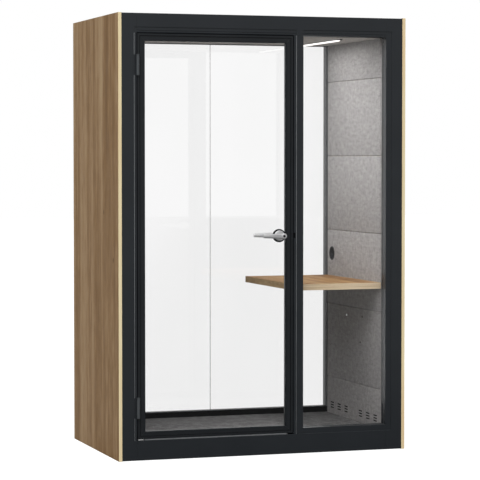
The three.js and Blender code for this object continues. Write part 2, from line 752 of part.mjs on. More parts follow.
// Hinges: the frame leaf carries the lower knuckle and the pin, the door leaf the upper knuckle
function hinges() {
  for (const [place, z] of Object.entries(hingeZs)) {
    const [low, high] = [z - HINGE_L / 2, z + HINGE_L / 2];
    const bore = rodZ(PIN_R + SEAT, hingeX, hingeY, low - PAST, high + PAST, SIDES_SMALL);
    const leaf = (x, z0, z1) =>
      cut(
        join(
          box(x, x + LEAF_T, doorFront, doorFront + LEAF_REACH, low, high),
          box(x, x + LEAF_T, hingeY, doorFront + PAST, z0, z1),
          rodZ(KNUCKLE_R, hingeX, hingeY, z0, z1, SIDES_SMALL),
        ),
        bore,
      );
    add(`hinge_${place}_frame_leaf`, leaf(jambX - SEAT - LEAF_T, low, z - SEAT / 2), anthracite);
    add(`hinge_${place}_door_leaf`, leaf(doorLeft + SEAT, z + SEAT / 2, high), anthracite);
    add(`hinge_${place}_pin`, rodZ(PIN_R, hingeX, hingeY, low, high, SIDES_SMALL), steel);
  }
}

// Handle set: a rosette and a lever on each face of the pane, on one square spindle
function rosette(name, face, side) {
  const holeR = NECK_R + RUN_GAP;
  const shell = [
    [ROSETTE_R, 0],
    [ROSETTE_R, ROSETTE_T - ROSETTE_EDGE],
    [ROSETTE_R - ROSETTE_EDGE, ROSETTE_T],
    [holeR, ROSETTE_T],
    [holeR, ROSETTE_T - ROSETTE_WALL],
    [ROSETTE_R - ROSETTE_WALL, ROSETTE_T - ROSETTE_WALL],
    [ROSETTE_R - ROSETTE_WALL, 0],
    [ROSETTE_R, 0],
  ];
  const cup = turnedY(shell, spindleX, face + side * SEAT, HANDLE_Z, side);
  add(name, cut(cup, caseHole), steel);
}

function lever(name, face, side, cuts) {
  const innerEnd = CASE_W / 2 - GLASS_T / 2 + SEAT;
  const gripIn = LEVER_REACH - GRIP_T - HUB_EDGE / 2;
  const gripOut = LEVER_REACH - HUB_EDGE / 2;
  const hub = [
    [0, innerEnd],
    [NECK_R, innerEnd],
    [NECK_R, gripIn - HUB_FLARE],
    [HUB_R, gripIn],
    [HUB_R, LEVER_REACH - HUB_EDGE],
    [HUB_R - HUB_EDGE, LEVER_REACH],
    [0, LEVER_REACH],
  ];
  const [root, tip] = [GRIP_ROOT_H / 2, GRIP_TIP_H / 2];
  const grip = new THREE.Shape();
  grip.moveTo(spindleX, HANDLE_Z - root);
  grip.lineTo(spindleX, HANDLE_Z + root);
  grip.lineTo(spindleX - LEVER_L + tip, HANDLE_Z + tip);
  grip.absarc(spindleX - LEVER_L + tip, HANDLE_Z, tip, Math.PI / 2, (3 * Math.PI) / 2);
  const [ya, yb] = [face + side * gripIn, face + side * gripOut];
  const body = join(
    turnedY(hub, spindleX, face, HANDLE_Z, side),
    prismY(grip, Math.min(ya, yb), Math.max(ya, yb)),
  );
  const half = SPINDLE_W / 2 + SEAT;
  const [sa, sb] = [face, face + side * (innerEnd + SOCKET_D)];
  const socket = box(
    spindleX - half,
    spindleX + half,
    Math.min(sa, sb),
    Math.max(sa, sb),
    HANDLE_Z - half,
    HANDLE_Z + half,
  );
  add(name, cut(body, socket, ...cuts), steel);
}

function handleSet() {
  rosette("outer_rosette", glassFront, -1);
  rosette("inner_rosette", glassBack, 1);
  const hubFront = glassFront - LEVER_REACH;
  const plugBore = rodY(
    PLUG_R + SEAT,
    spindleX,
    HANDLE_Z,
    hubFront - PAST,
    hubFront + PLUG_D + SEAT,
    SIDES_SMALL,
  );
  lever("outer_lever", glassFront, -1, [plugBore]);
  lever("inner_lever", glassBack, 1, []);
  const plug = rodY(PLUG_R, spindleX, HANDLE_Z, hubFront - PLUG_PROUD, hubFront + PLUG_D, SIDES_SMALL);
  const keyway = box(
    spindleX - KEYWAY_W / 2,
    spindleX + KEYWAY_W / 2,
    hubFront - PLUG_PROUD - PAST,
    hubFront + KEYWAY_D,
    HANDLE_Z - KEYWAY_H / 2,
    HANDLE_Z + KEYWAY_H / 2,
  );
  add("key_plug", cut(plug, keyway), steel);
  const ends = CASE_W / 2 + SOCKET_D;
  const spindle = box(
    spindleX - SPINDLE_W / 2,
    spindleX + SPINDLE_W / 2,
    glassMid - ends,
    glassMid + ends,
    HANDLE_Z - SPINDLE_W / 2,
    HANDLE_Z + SPINDLE_W / 2,
  );
  add("handle_spindle", spindle, steel);
}

// Latch: a case in a notch of the pane and a bore of the lock stile, and a bolt with a bevelled nose
function latch() {
  const plateX = doorRight - SEAT - FACEPLATE_T;
  const tube = bar(spindleX - CASE_TAIL, plateX + PAST, glassMid, CASE_W, HANDLE_Z, CASE_H);
  const plate = bar(plateX, doorRight - SEAT, glassMid, FACEPLATE_W, HANDLE_Z, FACEPLATE_H);
  const hollow = bar(
    spindleX - CASE_TAIL - PAST,
    doorRight + PAST,
    glassMid,
    boltW + 2 * SEAT,
    HANDLE_Z,
    boltH + 2 * SEAT,
  );
  const hubR = SPINDLE_W * Math.SQRT1_2 + RUN_GAP;
  const hubHole = rodY(hubR, spindleX, HANDLE_Z, glassMid - CASE_W, glassMid + CASE_W, SIDES_SMALL);
  add("latch_case", cut(join(tube, plate), hollow, hubHole), steel);
  const [tail, half] = [spindleX + BOLT_TAIL, boltW / 2];
  const shape = outline([
    [tail, glassMid - half],
    [boltNose, glassMid - half],
    [boltNose, glassMid],
    [boltNose - BOLT_BEVEL, glassMid + half],
    [tail, glassMid + half],
  ]);
  add("latch_bolt", prismZ(shape, HANDLE_Z - boltH / 2, HANDLE_Z + boltH / 2), steel);
}

// Back frame with two panes that meet in a narrow clear joint
function backWall() {
  const openL = left + feltFace + BACK_COVER;
  const openR = right - feltFace - BACK_COVER;
  const [openZ0, openZ1] = [sillZ + BACK_SILL, ceilingZ - BACK_HEAD];
  const [y0, y1] = [backIn + BACK_SETBACK, backIn + BACK_SETBACK + GLASS_T];
  const grown = (d) =>
    box(
      openL - GLASS_BITE - d,
      openR + GLASS_BITE + d,
      y0 - d,
      y1 + d,
      openZ0 - GLASS_BITE - d,
      openZ1 + GLASS_BITE + d,
    );
  const wall = SECTION_WALL;
  const bite = GLASS_BITE + SEAT + wall;
  const hollow = (x0, x1, z0, z1) => box(x0, x1, backIn + wall, backOut - wall, z0, z1);
  const member = (name, x0, x1, z0, z1, inside) =>
    add(name, cut(box(x0, x1, backIn, backOut, z0, z1), grown(SEAT), inside), anthracite);
  const [stileLow, stileHigh] = [frameLow - PAST, frameHigh - wall];
  const leftHollow = hollow(frameLeft + wall, openL - bite, stileLow, stileHigh);
  const rightHollow = hollow(openR + bite, frameRight - wall, stileLow, stileHigh);
  member("back_left_stile", frameLeft, openL, frameLow, frameHigh, leftHollow);
  member("back_right_stile", openR, frameRight, frameLow, frameHigh, rightHollow);
  const topHollow = hollow(openL, openR, openZ1 + bite, frameHigh - wall);
  const bottomHollow = hollow(openL, openR, frameLow + wall, openZ0 - bite);
  member("back_top_rail", openL + SEAT, openR - SEAT, openZ1, frameHigh, topHollow);
  member("back_bottom_rail", openL + SEAT, openR - SEAT, frameLow, openZ0, bottomHollow);
  const pane = (name, x0, x1) =>
    add(name, box(x0, x1, y0, y1, openZ0 - GLASS_BITE, openZ1 + GLASS_BITE), glass);
  pane("back_left_glass", openL - GLASS_BITE, BACK_JOINT_X - BACK_JOINT_W / 2);
  pane("back_right_glass", BACK_JOINT_X + BACK_JOINT_W / 2, openR + GLASS_BITE);
}

// Desk: an oak board carried by two steel arms let into its underside, welded to a bar in the wall
function desk() {
  const x0 = feltInX - SEAT - DESK_REACH;
  const armX0 = x0 + ARM_END;
  const grooves = armYs.map((y) =>
    box(
      armX0 - SEAT,
      feltInX + PAST,
      y - ARM_W / 2 - SEAT,
      y + ARM_W / 2 + SEAT,
      deskLow - PAST,
      deskLow + ARM_T + SEAT,
    ),
  );
  const top = box(x0, feltInX - SEAT, cabinFront, cabinBack, deskLow, DESK_Z);
  add("desk_top", cut(top, ...grooves), oak);
  const wallBar = bar(
    coreInX,
    coreInX + ARM_T,
    cabinMid,
    WALL_BAR_L,
    deskLow + ARM_T - WALL_BAR_H / 2,
    WALL_BAR_H,
  );
  const arms = armYs.map((y) => bar(armX0, coreInX + PAST, y, ARM_W, deskLow + ARM_T / 2, ARM_T));
  add("desk_support", join(wallBar, ...arms), steel);
}

sidePanels();
acousticCores();
feltBoards();
cablePort();
floor();
roof();
ceilingLight();
fanFrame();
fanRotor();
powerSupply();
frontLeftStile();
frontRightStile();
frontTopRail();
frontBottomRail();
frontMullion();
strikePlate();
sidelight();
doorStopSeal();
doorFrame();
doorGlazing();
doorBottomSeal();
hinges();
handleSet();
latch();
backWall();
desk();

export default pod;
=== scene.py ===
import json
import math

import bmesh
import bpy
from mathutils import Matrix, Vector

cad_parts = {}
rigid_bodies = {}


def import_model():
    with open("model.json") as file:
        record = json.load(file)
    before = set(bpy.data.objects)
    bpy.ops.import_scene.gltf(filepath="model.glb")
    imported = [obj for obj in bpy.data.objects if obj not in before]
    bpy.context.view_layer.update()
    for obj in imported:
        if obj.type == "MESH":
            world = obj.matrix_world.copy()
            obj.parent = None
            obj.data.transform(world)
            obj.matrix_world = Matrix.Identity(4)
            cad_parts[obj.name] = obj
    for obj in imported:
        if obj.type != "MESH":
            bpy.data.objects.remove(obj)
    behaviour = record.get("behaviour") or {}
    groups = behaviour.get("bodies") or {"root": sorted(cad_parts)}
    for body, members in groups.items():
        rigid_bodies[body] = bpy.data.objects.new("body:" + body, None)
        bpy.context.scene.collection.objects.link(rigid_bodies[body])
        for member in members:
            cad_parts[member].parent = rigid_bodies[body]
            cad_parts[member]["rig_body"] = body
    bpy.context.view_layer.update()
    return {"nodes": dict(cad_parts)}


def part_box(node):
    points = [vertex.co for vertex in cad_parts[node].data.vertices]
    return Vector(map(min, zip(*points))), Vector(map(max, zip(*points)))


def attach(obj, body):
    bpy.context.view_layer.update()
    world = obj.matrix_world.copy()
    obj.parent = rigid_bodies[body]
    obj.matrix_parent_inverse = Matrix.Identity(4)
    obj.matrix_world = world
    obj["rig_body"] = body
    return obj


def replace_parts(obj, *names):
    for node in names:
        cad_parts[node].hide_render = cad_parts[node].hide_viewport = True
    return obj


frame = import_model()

# Side panels: 17 mm boards faced with oak veneer, the grain upright, and a pale solid edging glued to the
# front. They stand on the ground on either side, and both frames and the floor are screwed to them.
MM = 0.001
WELD = 0.01 * MM
FLAT = math.radians(0.5)
SHARP = math.radians(38)
nodes = frame["nodes"]


def paint(code):
    """The renderer's linear colour of a #rrggbb shade."""
    parts = [int(code[k : k + 2], 16) / 255 for k in (1, 3, 5)]
    return [p / 12.92 if p <= 0.04045 else ((p + 0.055) / 1.055) ** 2.4 for p in parts] + [1.0]


def fill(tree, node, inputs):
    """Sets a node's inputs to values, or links them to other nodes' outputs."""
    for key, value in inputs.items():
        if isinstance(value, bpy.types.NodeSocket):
            tree.links.new(value, node.inputs[key])
        else:
            node.inputs[key].default_value = value


def place(tree, kind, inputs, **options):
    """Adds a shader node with its options and inputs."""
    node = tree.nodes.new("ShaderNode" + kind)
    for key, value in options.items():
        setattr(node, key, value)
    fill(tree, node, inputs)
    return node


def math_of(tree, operation, first, second):
    return place(tree, "Math", {0: first, 1: second}, operation=operation).outputs[0]


def fitted(tree, value, low, high, to_low=0.0, to_high=1.0):
    """Stretches a value so that low to high becomes to_low to to_high."""
    ends = {"From Min": low, "From Max": high, "To Min": to_low, "To Max": to_high}
    return place(tree, "MapRange", {"Value": value, **ends}).outputs[0]


def spots(tree, vector, per_metre, detail=2.0, roughness=0.5):
    """Soft random spots, with their number in a metre along each axis."""
    spread = place(tree, "Mapping", {"Vector": vector, "Scale": per_metre}).outputs[0]
    inputs = {"Vector": spread, "Scale": 1.0, "Detail": detail, "Roughness": roughness}
    return place(tree, "TexNoise", inputs).outputs[0]


def ramp(tree, value, *stops):
    """A colour that runs through the shades of (position, #rrggbb) stops."""
    node = place(tree, "ValToRGB", {0: value})
    band = node.color_ramp.elements
    band[0].position, band[1].position = stops[0][0], stops[-1][0]
    for position, _ in stops[1:-1]:
        band.new(position)
    for element, (_, shade) in zip(band, stops):
        element.color = paint(shade)
    return node.outputs[0]


def mixed(tree, share, first, second, how="MIX"):
    """A second colour laid over a first by a share from 0 to 1."""
    return place(tree, "Mix", {0: share, 6: first, 7: second}, data_type="RGBA", blend_type=how).outputs[2]


def bump(tree, height, depth):
    """Surface relief, with its depth in metres."""
    return place(tree, "Bump", {"Height": height, "Strength": 1.0, "Distance": depth}).outputs[0]


def effect(name, inputs, outputs):
    """A node group with named inputs and outputs, and the sockets of its two ends."""
    tree = bpy.data.node_groups.new(name, "ShaderNodeTree")
    for label, kind in inputs:
        tree.interface.new_socket(label, in_out="INPUT", socket_type=kind)
    for label in outputs:
        tree.interface.new_socket(label, in_out="OUTPUT", socket_type="NodeSocketFloat")
    return tree, tree.nodes.new("NodeGroupInput").outputs, tree.nodes.new("NodeGroupOutput")


def material(name, **plain):
    """A material with plain values on its shader, its node tree, its shader and its object coordinates."""
    made = bpy.data.materials.new(name)
    made.use_nodes = True
    shader = made.node_tree.nodes["Principled BSDF"]
    fill(made.node_tree, shader, {key.replace("_", " "): value for key, value in plain.items()})
    where = place(made.node_tree, "TexCoord", {}).outputs["Object"]
    return made, made.node_tree, shader, where


def shown(name, shape, finish, body):
    """Makes a piece of a finished bmesh: smooth faces, crisp corners, its material and its body."""
    for face in shape.faces:
        face.smooth = True
    for edge in shape.edges:
        edge.smooth = edge.is_manifold and edge.calc_face_angle() < SHARP
    mesh = bpy.data.meshes.new(name)
    shape.to_mesh(mesh)
    shape.free()
    if "custom_normal" in mesh.attributes:
        mesh.attributes.remove(mesh.attributes["custom_normal"])
    mesh.materials.clear()
    mesh.materials.append(finish)
    piece = bpy.data.objects.new(name, mesh)
    bpy.context.scene.collection.objects.link(piece)
    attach(piece, body)
    return piece


def rounded(piece, edge, segments=2):
    """Rounds a piece's sharp edges and keeps its flat faces flat."""
    soft = piece.modifiers.new("rounded_edges", "BEVEL")
    soft.width, soft.segments = edge, segments
    soft.limit_method, soft.angle_limit = "ANGLE", SHARP
    soft.harden_normals = True
    return piece


def solid_of(node):
    """A CAD node's own solid as a bmesh, with its triangles merged into plain faces."""
    shape = bmesh.new()
    shape.from_mesh(nodes[node].data)
    bmesh.ops.remove_doubles(shape, verts=shape.verts, dist=WELD)
    bmesh.ops.dissolve_limit(shape, angle_limit=FLAT, verts=shape.verts, edges=shape.edges)
    return shape


def eased(node, finish, edge, shape=None):
    """A finished piece in place of a CAD node, with its sharp edges rounded and its curved faces smooth."""
    shape = shape or solid_of(node)
    piece = shown(node + "_finished", shape, finish, nodes[node]["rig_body"])
    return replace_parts(rounded(piece, edge), node)


oak_grain, given, grain_out = effect(
    "oak_grain", [("Along Z", "NodeSocketVector")], ["Tone", "Streak", "Pores", "Knots"]
)
flames = spots(oak_grain, given[0], (2, 13, 0.4), 1.5, 0.45)
streak = spots(oak_grain, given[0], (25, 70, 2.4), 4.0, 0.62)
blotch = spots(oak_grain, given[0], (6, 26, 7), 3.0, 0.6)
pores = fitted(oak_grain, spots(oak_grain, given[0], (420, 950, 16), 1.0), 0.58, 0.72)
tone = math_of(oak_grain, "MULTIPLY", flames, 0.52)
tone = math_of(oak_grain, "ADD", tone, math_of(oak_grain, "MULTIPLY", streak, 0.24))
tone = math_of(oak_grain, "ADD", tone, math_of(oak_grain, "MULTIPLY", blotch, 0.24))
spread = place(oak_grain, "Mapping", {"Vector": given[0], "Scale": (1, 6, 4)}).outputs[0]
cell = place(oak_grain, "TexVoronoi", {"Vector": spread, "Scale": 1.0})
near = fitted(oak_grain, cell.outputs["Distance"], 0.075, 0.02)
rare = math_of(oak_grain, "GREATER_THAN", cell.outputs["Color"], 0.56)
fill(
    oak_grain,
    grain_out,
    {
        "Tone": fitted(oak_grain, tone, 0.36, 0.64),
        "Streak": streak,
        "Pores": pores,
        "Knots": math_of(oak_grain, "MULTIPLY", near, rare),
    },
)

EDGING_T = 0.8 * MM
oak, tree, shader, where = material("oak_veneer", Specular_IOR_Level=0.06)
grain = place(tree, "Group", {"Along Z": where}, node_tree=oak_grain).outputs
face = ramp(tree, grain["Tone"], (0.0, "#785a38"), (0.35, "#8b6d4a"), (0.7, "#a28563"), (1.0, "#ae9471"))
face = mixed(tree, math_of(tree, "MULTIPLY", grain["Pores"], 0.35), face, paint("#4f3a26"))
face = mixed(tree, math_of(tree, "MULTIPLY", grain["Knots"], 0.75), face, paint("#412d1c"))
lengths = spots(tree, where, (30, 1, 1.6), 1.0)
fibres = spots(tree, where, (700, 60, 9), 2.0)
edging = ramp(tree, lengths, (0.3, "#dccfab"), (0.5, "#d8caa4"), (0.7, "#d2bb95"))
edging = mixed(tree, fitted(tree, fibres, 0.35, 0.75, 0.0, 0.35), edging, paint("#b39667"))
depth = place(tree, "SeparateXYZ", {0: where}).outputs["Y"]
is_edge = math_of(tree, "LESS_THAN", depth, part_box("left_side_panel")[0].y + EDGING_T)
relief = math_of(tree, "SUBTRACT", grain["Streak"], grain["Pores"])
fill(
    tree,
    shader,
    {
        "Base Color": mixed(tree, is_edge, face, edging),
        "Roughness": fitted(tree, grain["Streak"], 0.3, 0.7, 0.5, 0.68),
        "Normal": bump(tree, relief, 0.12 * MM),
    },
)
for side in ("left", "right"):
    eased(side + "_side_panel", oak, 0.8 * MM)

# Acoustic cores: slabs of pressed mineral wool that fill the side walls, with an air duct cut into the
# right one. They stand between the panel and the felt and only show when the pod is taken apart.
fibre, given, fibre_out = effect(
    "fibre", [("Vector", "NodeSocketVector"), ("Cross", "NodeSocketVector")], ["Fleck", "Cloud"]
)
lying = spots(fibre, given["Vector"], (500, 130, 620), 3.0, 0.6)
standing = spots(fibre, given["Vector"], (500, 620, 130), 3.0, 0.6)
fleck = math_of(fibre, "MULTIPLY", math_of(fibre, "ADD", lying, standing), 0.5)
weft = spots(fibre, given["Cross"], (40, 22, 70), 3.0, 0.6)
warp = spots(fibre, given["Cross"], (40, 95, 24), 3.0, 0.6)
cloud = math_of(fibre, "MULTIPLY", math_of(fibre, "ADD", weft, warp), 0.5)
fill(fibre, fibre_out, {"Fleck": fleck, "Cloud": cloud})

wool, tree, shader, where = material("mineral_wool", Roughness=1.0, Specular_IOR_Level=0.1)
strands = place(tree, "Group", {"Vector": where, "Cross": where}, node_tree=fibre).outputs
shade = ramp(tree, strands["Fleck"], (0.3, "#8f7c4b"), (0.5, "#b3a06d"), (0.7, "#cbbb8c"))
fill(tree, shader, {"Base Color": shade, "Normal": bump(tree, strands["Fleck"], 3 * MM)})
for side in ("left", "right"):
    nodes[side + "_acoustic_core"].material_slots[0].material = wool

# Floor: a chipboard deck that stands on the ground between the side panels, and a dark grey loop carpet
# glued on it from wall to wall.
chip, tree, shader, where = material("chipboard", Specular_IOR_Level=0.2)
flakes = place(tree, "Mapping", {"Vector": where, "Scale": (90, 90, 500)}).outputs[0]
flake = place(tree, "TexVoronoi", {"Vector": flakes, "Scale": 1.0}).outputs["Color"]
shade = ramp(tree, flake, (0.1, "#7c633f"), (0.5, "#a58a5f"), (0.9, "#c0a778"))
fill(
    tree,
    shader,
    {
        "Base Color": shade,
        "Roughness": fitted(tree, flake, 0.0, 1.0, 0.75, 0.9),
        "Normal": bump(tree, flake, 0.3 * MM),
    },
)
nodes["floor_deck"].material_slots[0].material = chip

LOOPS = 330
carpet, tree, shader, where = material("loop_carpet", Roughness=1.0, Specular_IOR_Level=0.1)
fill(tree, shader, {"Sheen Weight": 0.15, "Sheen Roughness": 0.6})
loops = place(tree, "TexVoronoi", {"Vector": where, "Scale": LOOPS})
yarn = place(tree, "Group", {"Vector": where, "Cross": where}, node_tree=fibre).outputs
shade = ramp(tree, loops.outputs["Color"], (0.1, "#5c5b5b"), (0.5, "#828181"), (0.9, "#a4a3a3"))
shade = mixed(tree, fitted(tree, yarn["Cloud"], 0.42, 0.6, 0.0, 0.35), shade, paint("#434242"))
worn = spots(tree, where, (26, 18, 26), 2.0)
shade = mixed(tree, fitted(tree, worn, 0.42, 0.58, 0.0, 0.5), shade, paint("#3c3b3b"))
# Painted shade: the carpet darkens towards the back of the cabin.
depth = place(tree, "SeparateXYZ", {0: where}).outputs["Y"]
shade = mixed(tree, fitted(tree, depth, -0.35, 0.4, 0.0, 0.62), shade, paint("#2a2929"))
height = math_of(tree, "SUBTRACT", 1.0, loops.outputs["Distance"])
fill(tree, shader, {"Base Color": shade, "Normal": bump(tree, height, 2.5 * MM)})
eased("carpet", carpet, 1.5 * MM)

# Felt boards: 12 mm boards of pressed grey polyester felt, butted with eased edges on the right wall, and
# one scored sheet on the left wall. They are fixed to the cores, and caps hide the fixings that show.
felt, tree, shader, where = material("grey_felt", Roughness=0.95, Specular_IOR_Level=0.15)
fill(tree, shader, {"Sheen Weight": 0.1, "Sheen Roughness": 0.5})
heather = place(tree, "Group", {"Vector": where, "Cross": where}, node_tree=fibre).outputs
shade = ramp(tree, heather["Cloud"], (0.32, "#848281"), (0.5, "#9f9c9b"), (0.68, "#b7b4b2"))
shade = mixed(tree, fitted(tree, heather["Fleck"], 0.42, 0.68, 0.0, 0.55), shade, paint("#7a7878"))
fill(tree, shader, {"Base Color": shade, "Normal": bump(tree, heather["Fleck"], 0.8 * MM)})
SEAM_EASE = 3.4 * MM
SEAM_SPAN = 0.5
for row in range(1, 7):
    board = solid_of(f"right_felt_board_{row}")
    face_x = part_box(f"right_felt_board_{row}")[0].x
    seams = [
        edge
        for edge in board.edges
        if edge.calc_length() > SEAM_SPAN and all(abs(v.co.x - face_x) < WELD for v in edge.verts)
    ]
    seams = [edge for edge in seams if abs(edge.verts[0].co.z - edge.verts[1].co.z) < WELD]
    bmesh.ops.bevel(
        board, geom=seams, offset=SEAM_EASE, segments=3, profile=0.5, affect="EDGES", material=-1
    )
    eased(f"right_felt_board_{row}", felt, 0.6 * MM, board)
eased("left_felt_lining", felt, 0.6 * MM)

# Vent shade: black pads set just inside the air slots of the lowest felt board, painted shade for the dark
# inside of the slots. The slots let the air pass to the duct in the core, and the pads hide it.
SHADE_PAD_IN = 0.3 * MM
low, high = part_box("right_felt_board_1")
# The pads' black is painted shade for the inside of the vent slots.
vent_shade_finish, tree, shader, where = material("black_vent_shade", Roughness=1.0, Specular_IOR_Level=0.0)
strands = place(tree, "Group", {"Vector": where, "Cross": where}, node_tree=fibre).outputs
fill(tree, shader, {"Base Color": ramp(tree, strands["Fleck"], (0.3, "#0c0c0d"), (0.7, "#161617"))})
vent_shade_pads = solid_of("right_felt_board_1")
rims = []
for edge in vent_shade_pads.edges:
    on_face = all(abs(v.co.x - low.x) < WELD for v in edge.verts)
    inside = all(low.y + MM < v.co.y < high.y - MM for v in edge.verts)
    inside = inside and all(low.z + MM < v.co.z < high.z - MM for v in edge.verts)
    if on_face and inside and edge.calc_face_angle(0.0) > SHARP:
        rims.append(edge)
bmesh.ops.delete(vent_shade_pads, geom=vent_shade_pads.faces[:], context="FACES_ONLY")
bmesh.ops.delete(vent_shade_pads, geom=list(set(vent_shade_pads.edges) - set(rims)), context="EDGES")
pads = bmesh.ops.edgeloop_fill(vent_shade_pads, edges=vent_shade_pads.edges[:])["faces"]
bmesh.ops.translate(vent_shade_pads, vec=(SHADE_PAD_IN, 0, 0), verts=vent_shade_pads.verts)
made = bmesh.ops.extrude_face_region(vent_shade_pads, geom=pads)["geom"]
moved = [v for v in made if isinstance(v, bmesh.types.BMVert)]
bmesh.ops.translate(vent_shade_pads, vec=(high.x - low.x - 2 * SHADE_PAD_IN, 0, 0), verts=moved)
bmesh.ops.recalc_face_normals(vent_shade_pads, faces=vent_shade_pads.faces)
shown("vent_shade_pad_piece", vent_shade_pads, vent_shade_finish, "pod")

# Fixing caps: one satin chrome and two black plastic discs with rounded rims, turned and moulded. They are
# pressed into the second felt board over its fixings.
SIDES = 64


def turned(profile, centre, axis, sides=SIDES):
    """A bmesh turned from (radius, distance along the axis) points; a ring's last point joins its first."""
    shape = bmesh.new()
    axis = Vector(axis)
    across = axis.orthogonal().normalized()
    ring = [shape.verts.new(Vector(centre) + across * r + axis * t) for r, t in profile]
    edges = [shape.edges.new((ring[k - 1], ring[k])) for k in range(0 if profile[0][0] else 1, len(ring))]
    turn = {"cent": centre, "axis": axis, "angle": 2 * math.pi, "steps": sides, "use_merge": True}
    bmesh.ops.spin(shape, geom=ring + edges, dvec=(0, 0, 0), **turn)
    bmesh.ops.remove_doubles(shape, verts=shape.verts, dist=WELD)
    bmesh.ops.recalc_face_normals(shape, faces=shape.faces)
    return shape


def arc(r, t, radius, start, end, steps=5):
    """Points of an arc about (r, t), with its angles in degrees from the radius towards the axis."""
    turns = [math.radians(start + (end - start) * k / steps) for k in range(steps + 1)]
    return [(r + radius * math.cos(a), t + radius * math.sin(a)) for a in turns]


CAP_R = 5.5 * MM
CAP_PROUD = 1.6 * MM
CAP_ROOT = 3 * MM
CAP_EDGE = 1.2 * MM
wall_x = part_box("right_felt_board_2")[0].x
caps = {
    "fixing_cap_bright": (86.5, 653),
    "fixing_cap_front": (-137.5, 658),
    "fixing_cap_low": (-108.5, 521),
}
grit, given, grit_out = effect(
    "grit", [("Vector", "NodeSocketVector"), ("Per Metre", "NodeSocketFloat")], ["Speck", "Patch"]
)
fine = {"Vector": given["Vector"], "Scale": given["Per Metre"], "Detail": 2.0}
speck = place(grit, "TexNoise", fine).outputs[0]
fill(grit, grit_out, {"Speck": speck, "Patch": spots(grit, given["Vector"], (5, 5, 5), 3.0)})

plastic, tree, shader, where = material("black_plastic", Specular_IOR_Level=0.4)
moulded = place(tree, "Group", {"Vector": where, "Per Metre": 1600.0}, node_tree=grit).outputs
shade = ramp(tree, moulded["Patch"], (0.3, "#151517"), (0.7, "#1f1f22"))
gloss = fitted(tree, moulded["Speck"], 0.3, 0.7, 0.42, 0.58)
relief = bump(tree, moulded["Speck"], 0.05 * MM)
fill(tree, shader, {"Base Color": shade, "Roughness": gloss, "Normal": relief})

brush, given, brush_out = effect(
    "brush", [("Vector", "NodeSocketVector"), ("Lines", "NodeSocketVector")], ["Line", "Haze"]
)
ruled = place(brush, "VectorMath", {0: given["Vector"], 1: given["Lines"]}, operation="MULTIPLY").outputs[0]
line = place(brush, "TexNoise", {"Vector": ruled, "Scale": 1.0, "Detail": 3.0}).outputs[0]
fill(brush, brush_out, {"Line": line, "Haze": spots(brush, given["Vector"], (40, 40, 40), 2.0)})

chrome, tree, shader, where = material("satin_chrome", Metallic=1.0)
lines = place(tree, "Group", {"Vector": where, "Lines": (60, 1800, 1800)}, node_tree=brush).outputs
shade = ramp(tree, lines["Haze"], (0.3, "#dedfe0"), (0.7, "#eeeeee"))
gloss = fitted(tree, lines["Line"], 0.3, 0.7, 0.34, 0.46)
relief = bump(tree, lines["Line"], 0.01 * MM)
fill(tree, shader, {"Base Color": shade, "Roughness": gloss, "Normal": relief})
for name, (y, z) in caps.items():
    rim = arc(CAP_R - CAP_EDGE, CAP_PROUD - CAP_EDGE, CAP_EDGE, 0, 90)
    profile = [(0, -CAP_ROOT), (CAP_R, -CAP_ROOT), *rim, (0, CAP_PROUD)]
    cap = turned(profile, (wall_x, y * MM, z * MM), (-1, 0, 0), 32)
    shown(name, cap, chrome if name.endswith("bright") else plastic, "pod")

# Cable port: a black moulded plastic sleeve with a rounded lip, pressed into the felt and the core over the
# desk. Cables pass through it into the wall.
LIP_EDGE = 2 * MM
LIP_PROUD = 2.2 * MM
LIP_DEPTH = 4 * MM
PORT_WALL = 3 * MM
low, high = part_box("cable_port")
port_r = (high.y - low.y) / 2
port_l = high.x - wall_x
bore_r = port_r - PORT_WALL
lip = arc(port_r, LIP_PROUD - LIP_EDGE, LIP_EDGE, 0, 180, 8)
profile = [(port_r, -port_l), (port_r, 0.0), (port_r + LIP_EDGE, 0.0)]
profile += [*lip, (bore_r, -LIP_DEPTH), (bore_r, -port_l)]
middle = (wall_x, (low.y + high.y) / 2, (low.z + high.z) / 2)
port = shown("cable_port_sleeve", turned(profile, middle, (-1, 0, 0)), plastic, "pod")
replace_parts(port, "cable_port")

# Ceiling and roof: a ceiling board covered with grey felt and an anthracite laminated roof board, screwed
# between the walls. Both are slotted at the fan.
ceiling, tree, shader, where = material("ceiling_felt", Roughness=0.95, Specular_IOR_Level=0.15)
upward = place(tree, "Mapping", {"Vector": where, "Rotation": (math.pi / 2, 0, 0)}).outputs[0]
heather = place(tree, "Group", {"Vector": upward, "Cross": upward}, node_tree=fibre).outputs
shade = ramp(tree, heather["Cloud"], (0.3, "#b3b0ab"), (0.5, "#c8c5c0"), (0.7, "#d5d2cc"))
shade = mixed(tree, fitted(tree, heather["Fleck"], 0.45, 0.7, 0.0, 0.4), shade, paint("#8a8680"))
fill(tree, shader, {"Base Color": shade, "Normal": bump(tree, heather["Fleck"], 0.6 * MM)})
eased("ceiling_panel", ceiling, 0.8 * MM)


def powder_coat(name, specular, *shades):
    """A fine textured powder coat, its shades from dark to light."""
    finish, tree, shader, where = material(name, Specular_IOR_Level=specular)
    coat = place(tree, "Group", {"Vector": where, "Per Metre": 1400.0}, node_tree=grit).outputs
    shade = ramp(tree, coat["Patch"], *zip((0.25, 0.5, 0.75), shades))
    gloss = fitted(tree, coat["Speck"], 0.3, 0.7, 0.28, 0.38)
    relief = bump(tree, coat["Speck"], 0.04 * MM)
    fill(tree, shader, {"Base Color": shade, "Roughness": gloss, "Normal": relief})
    return finish


anthracite = powder_coat("anthracite_powder_coat", 0.5, "#191d21", "#1b1f23", "#1d2125")
eased("roof_panel", anthracite, 0.8 * MM)

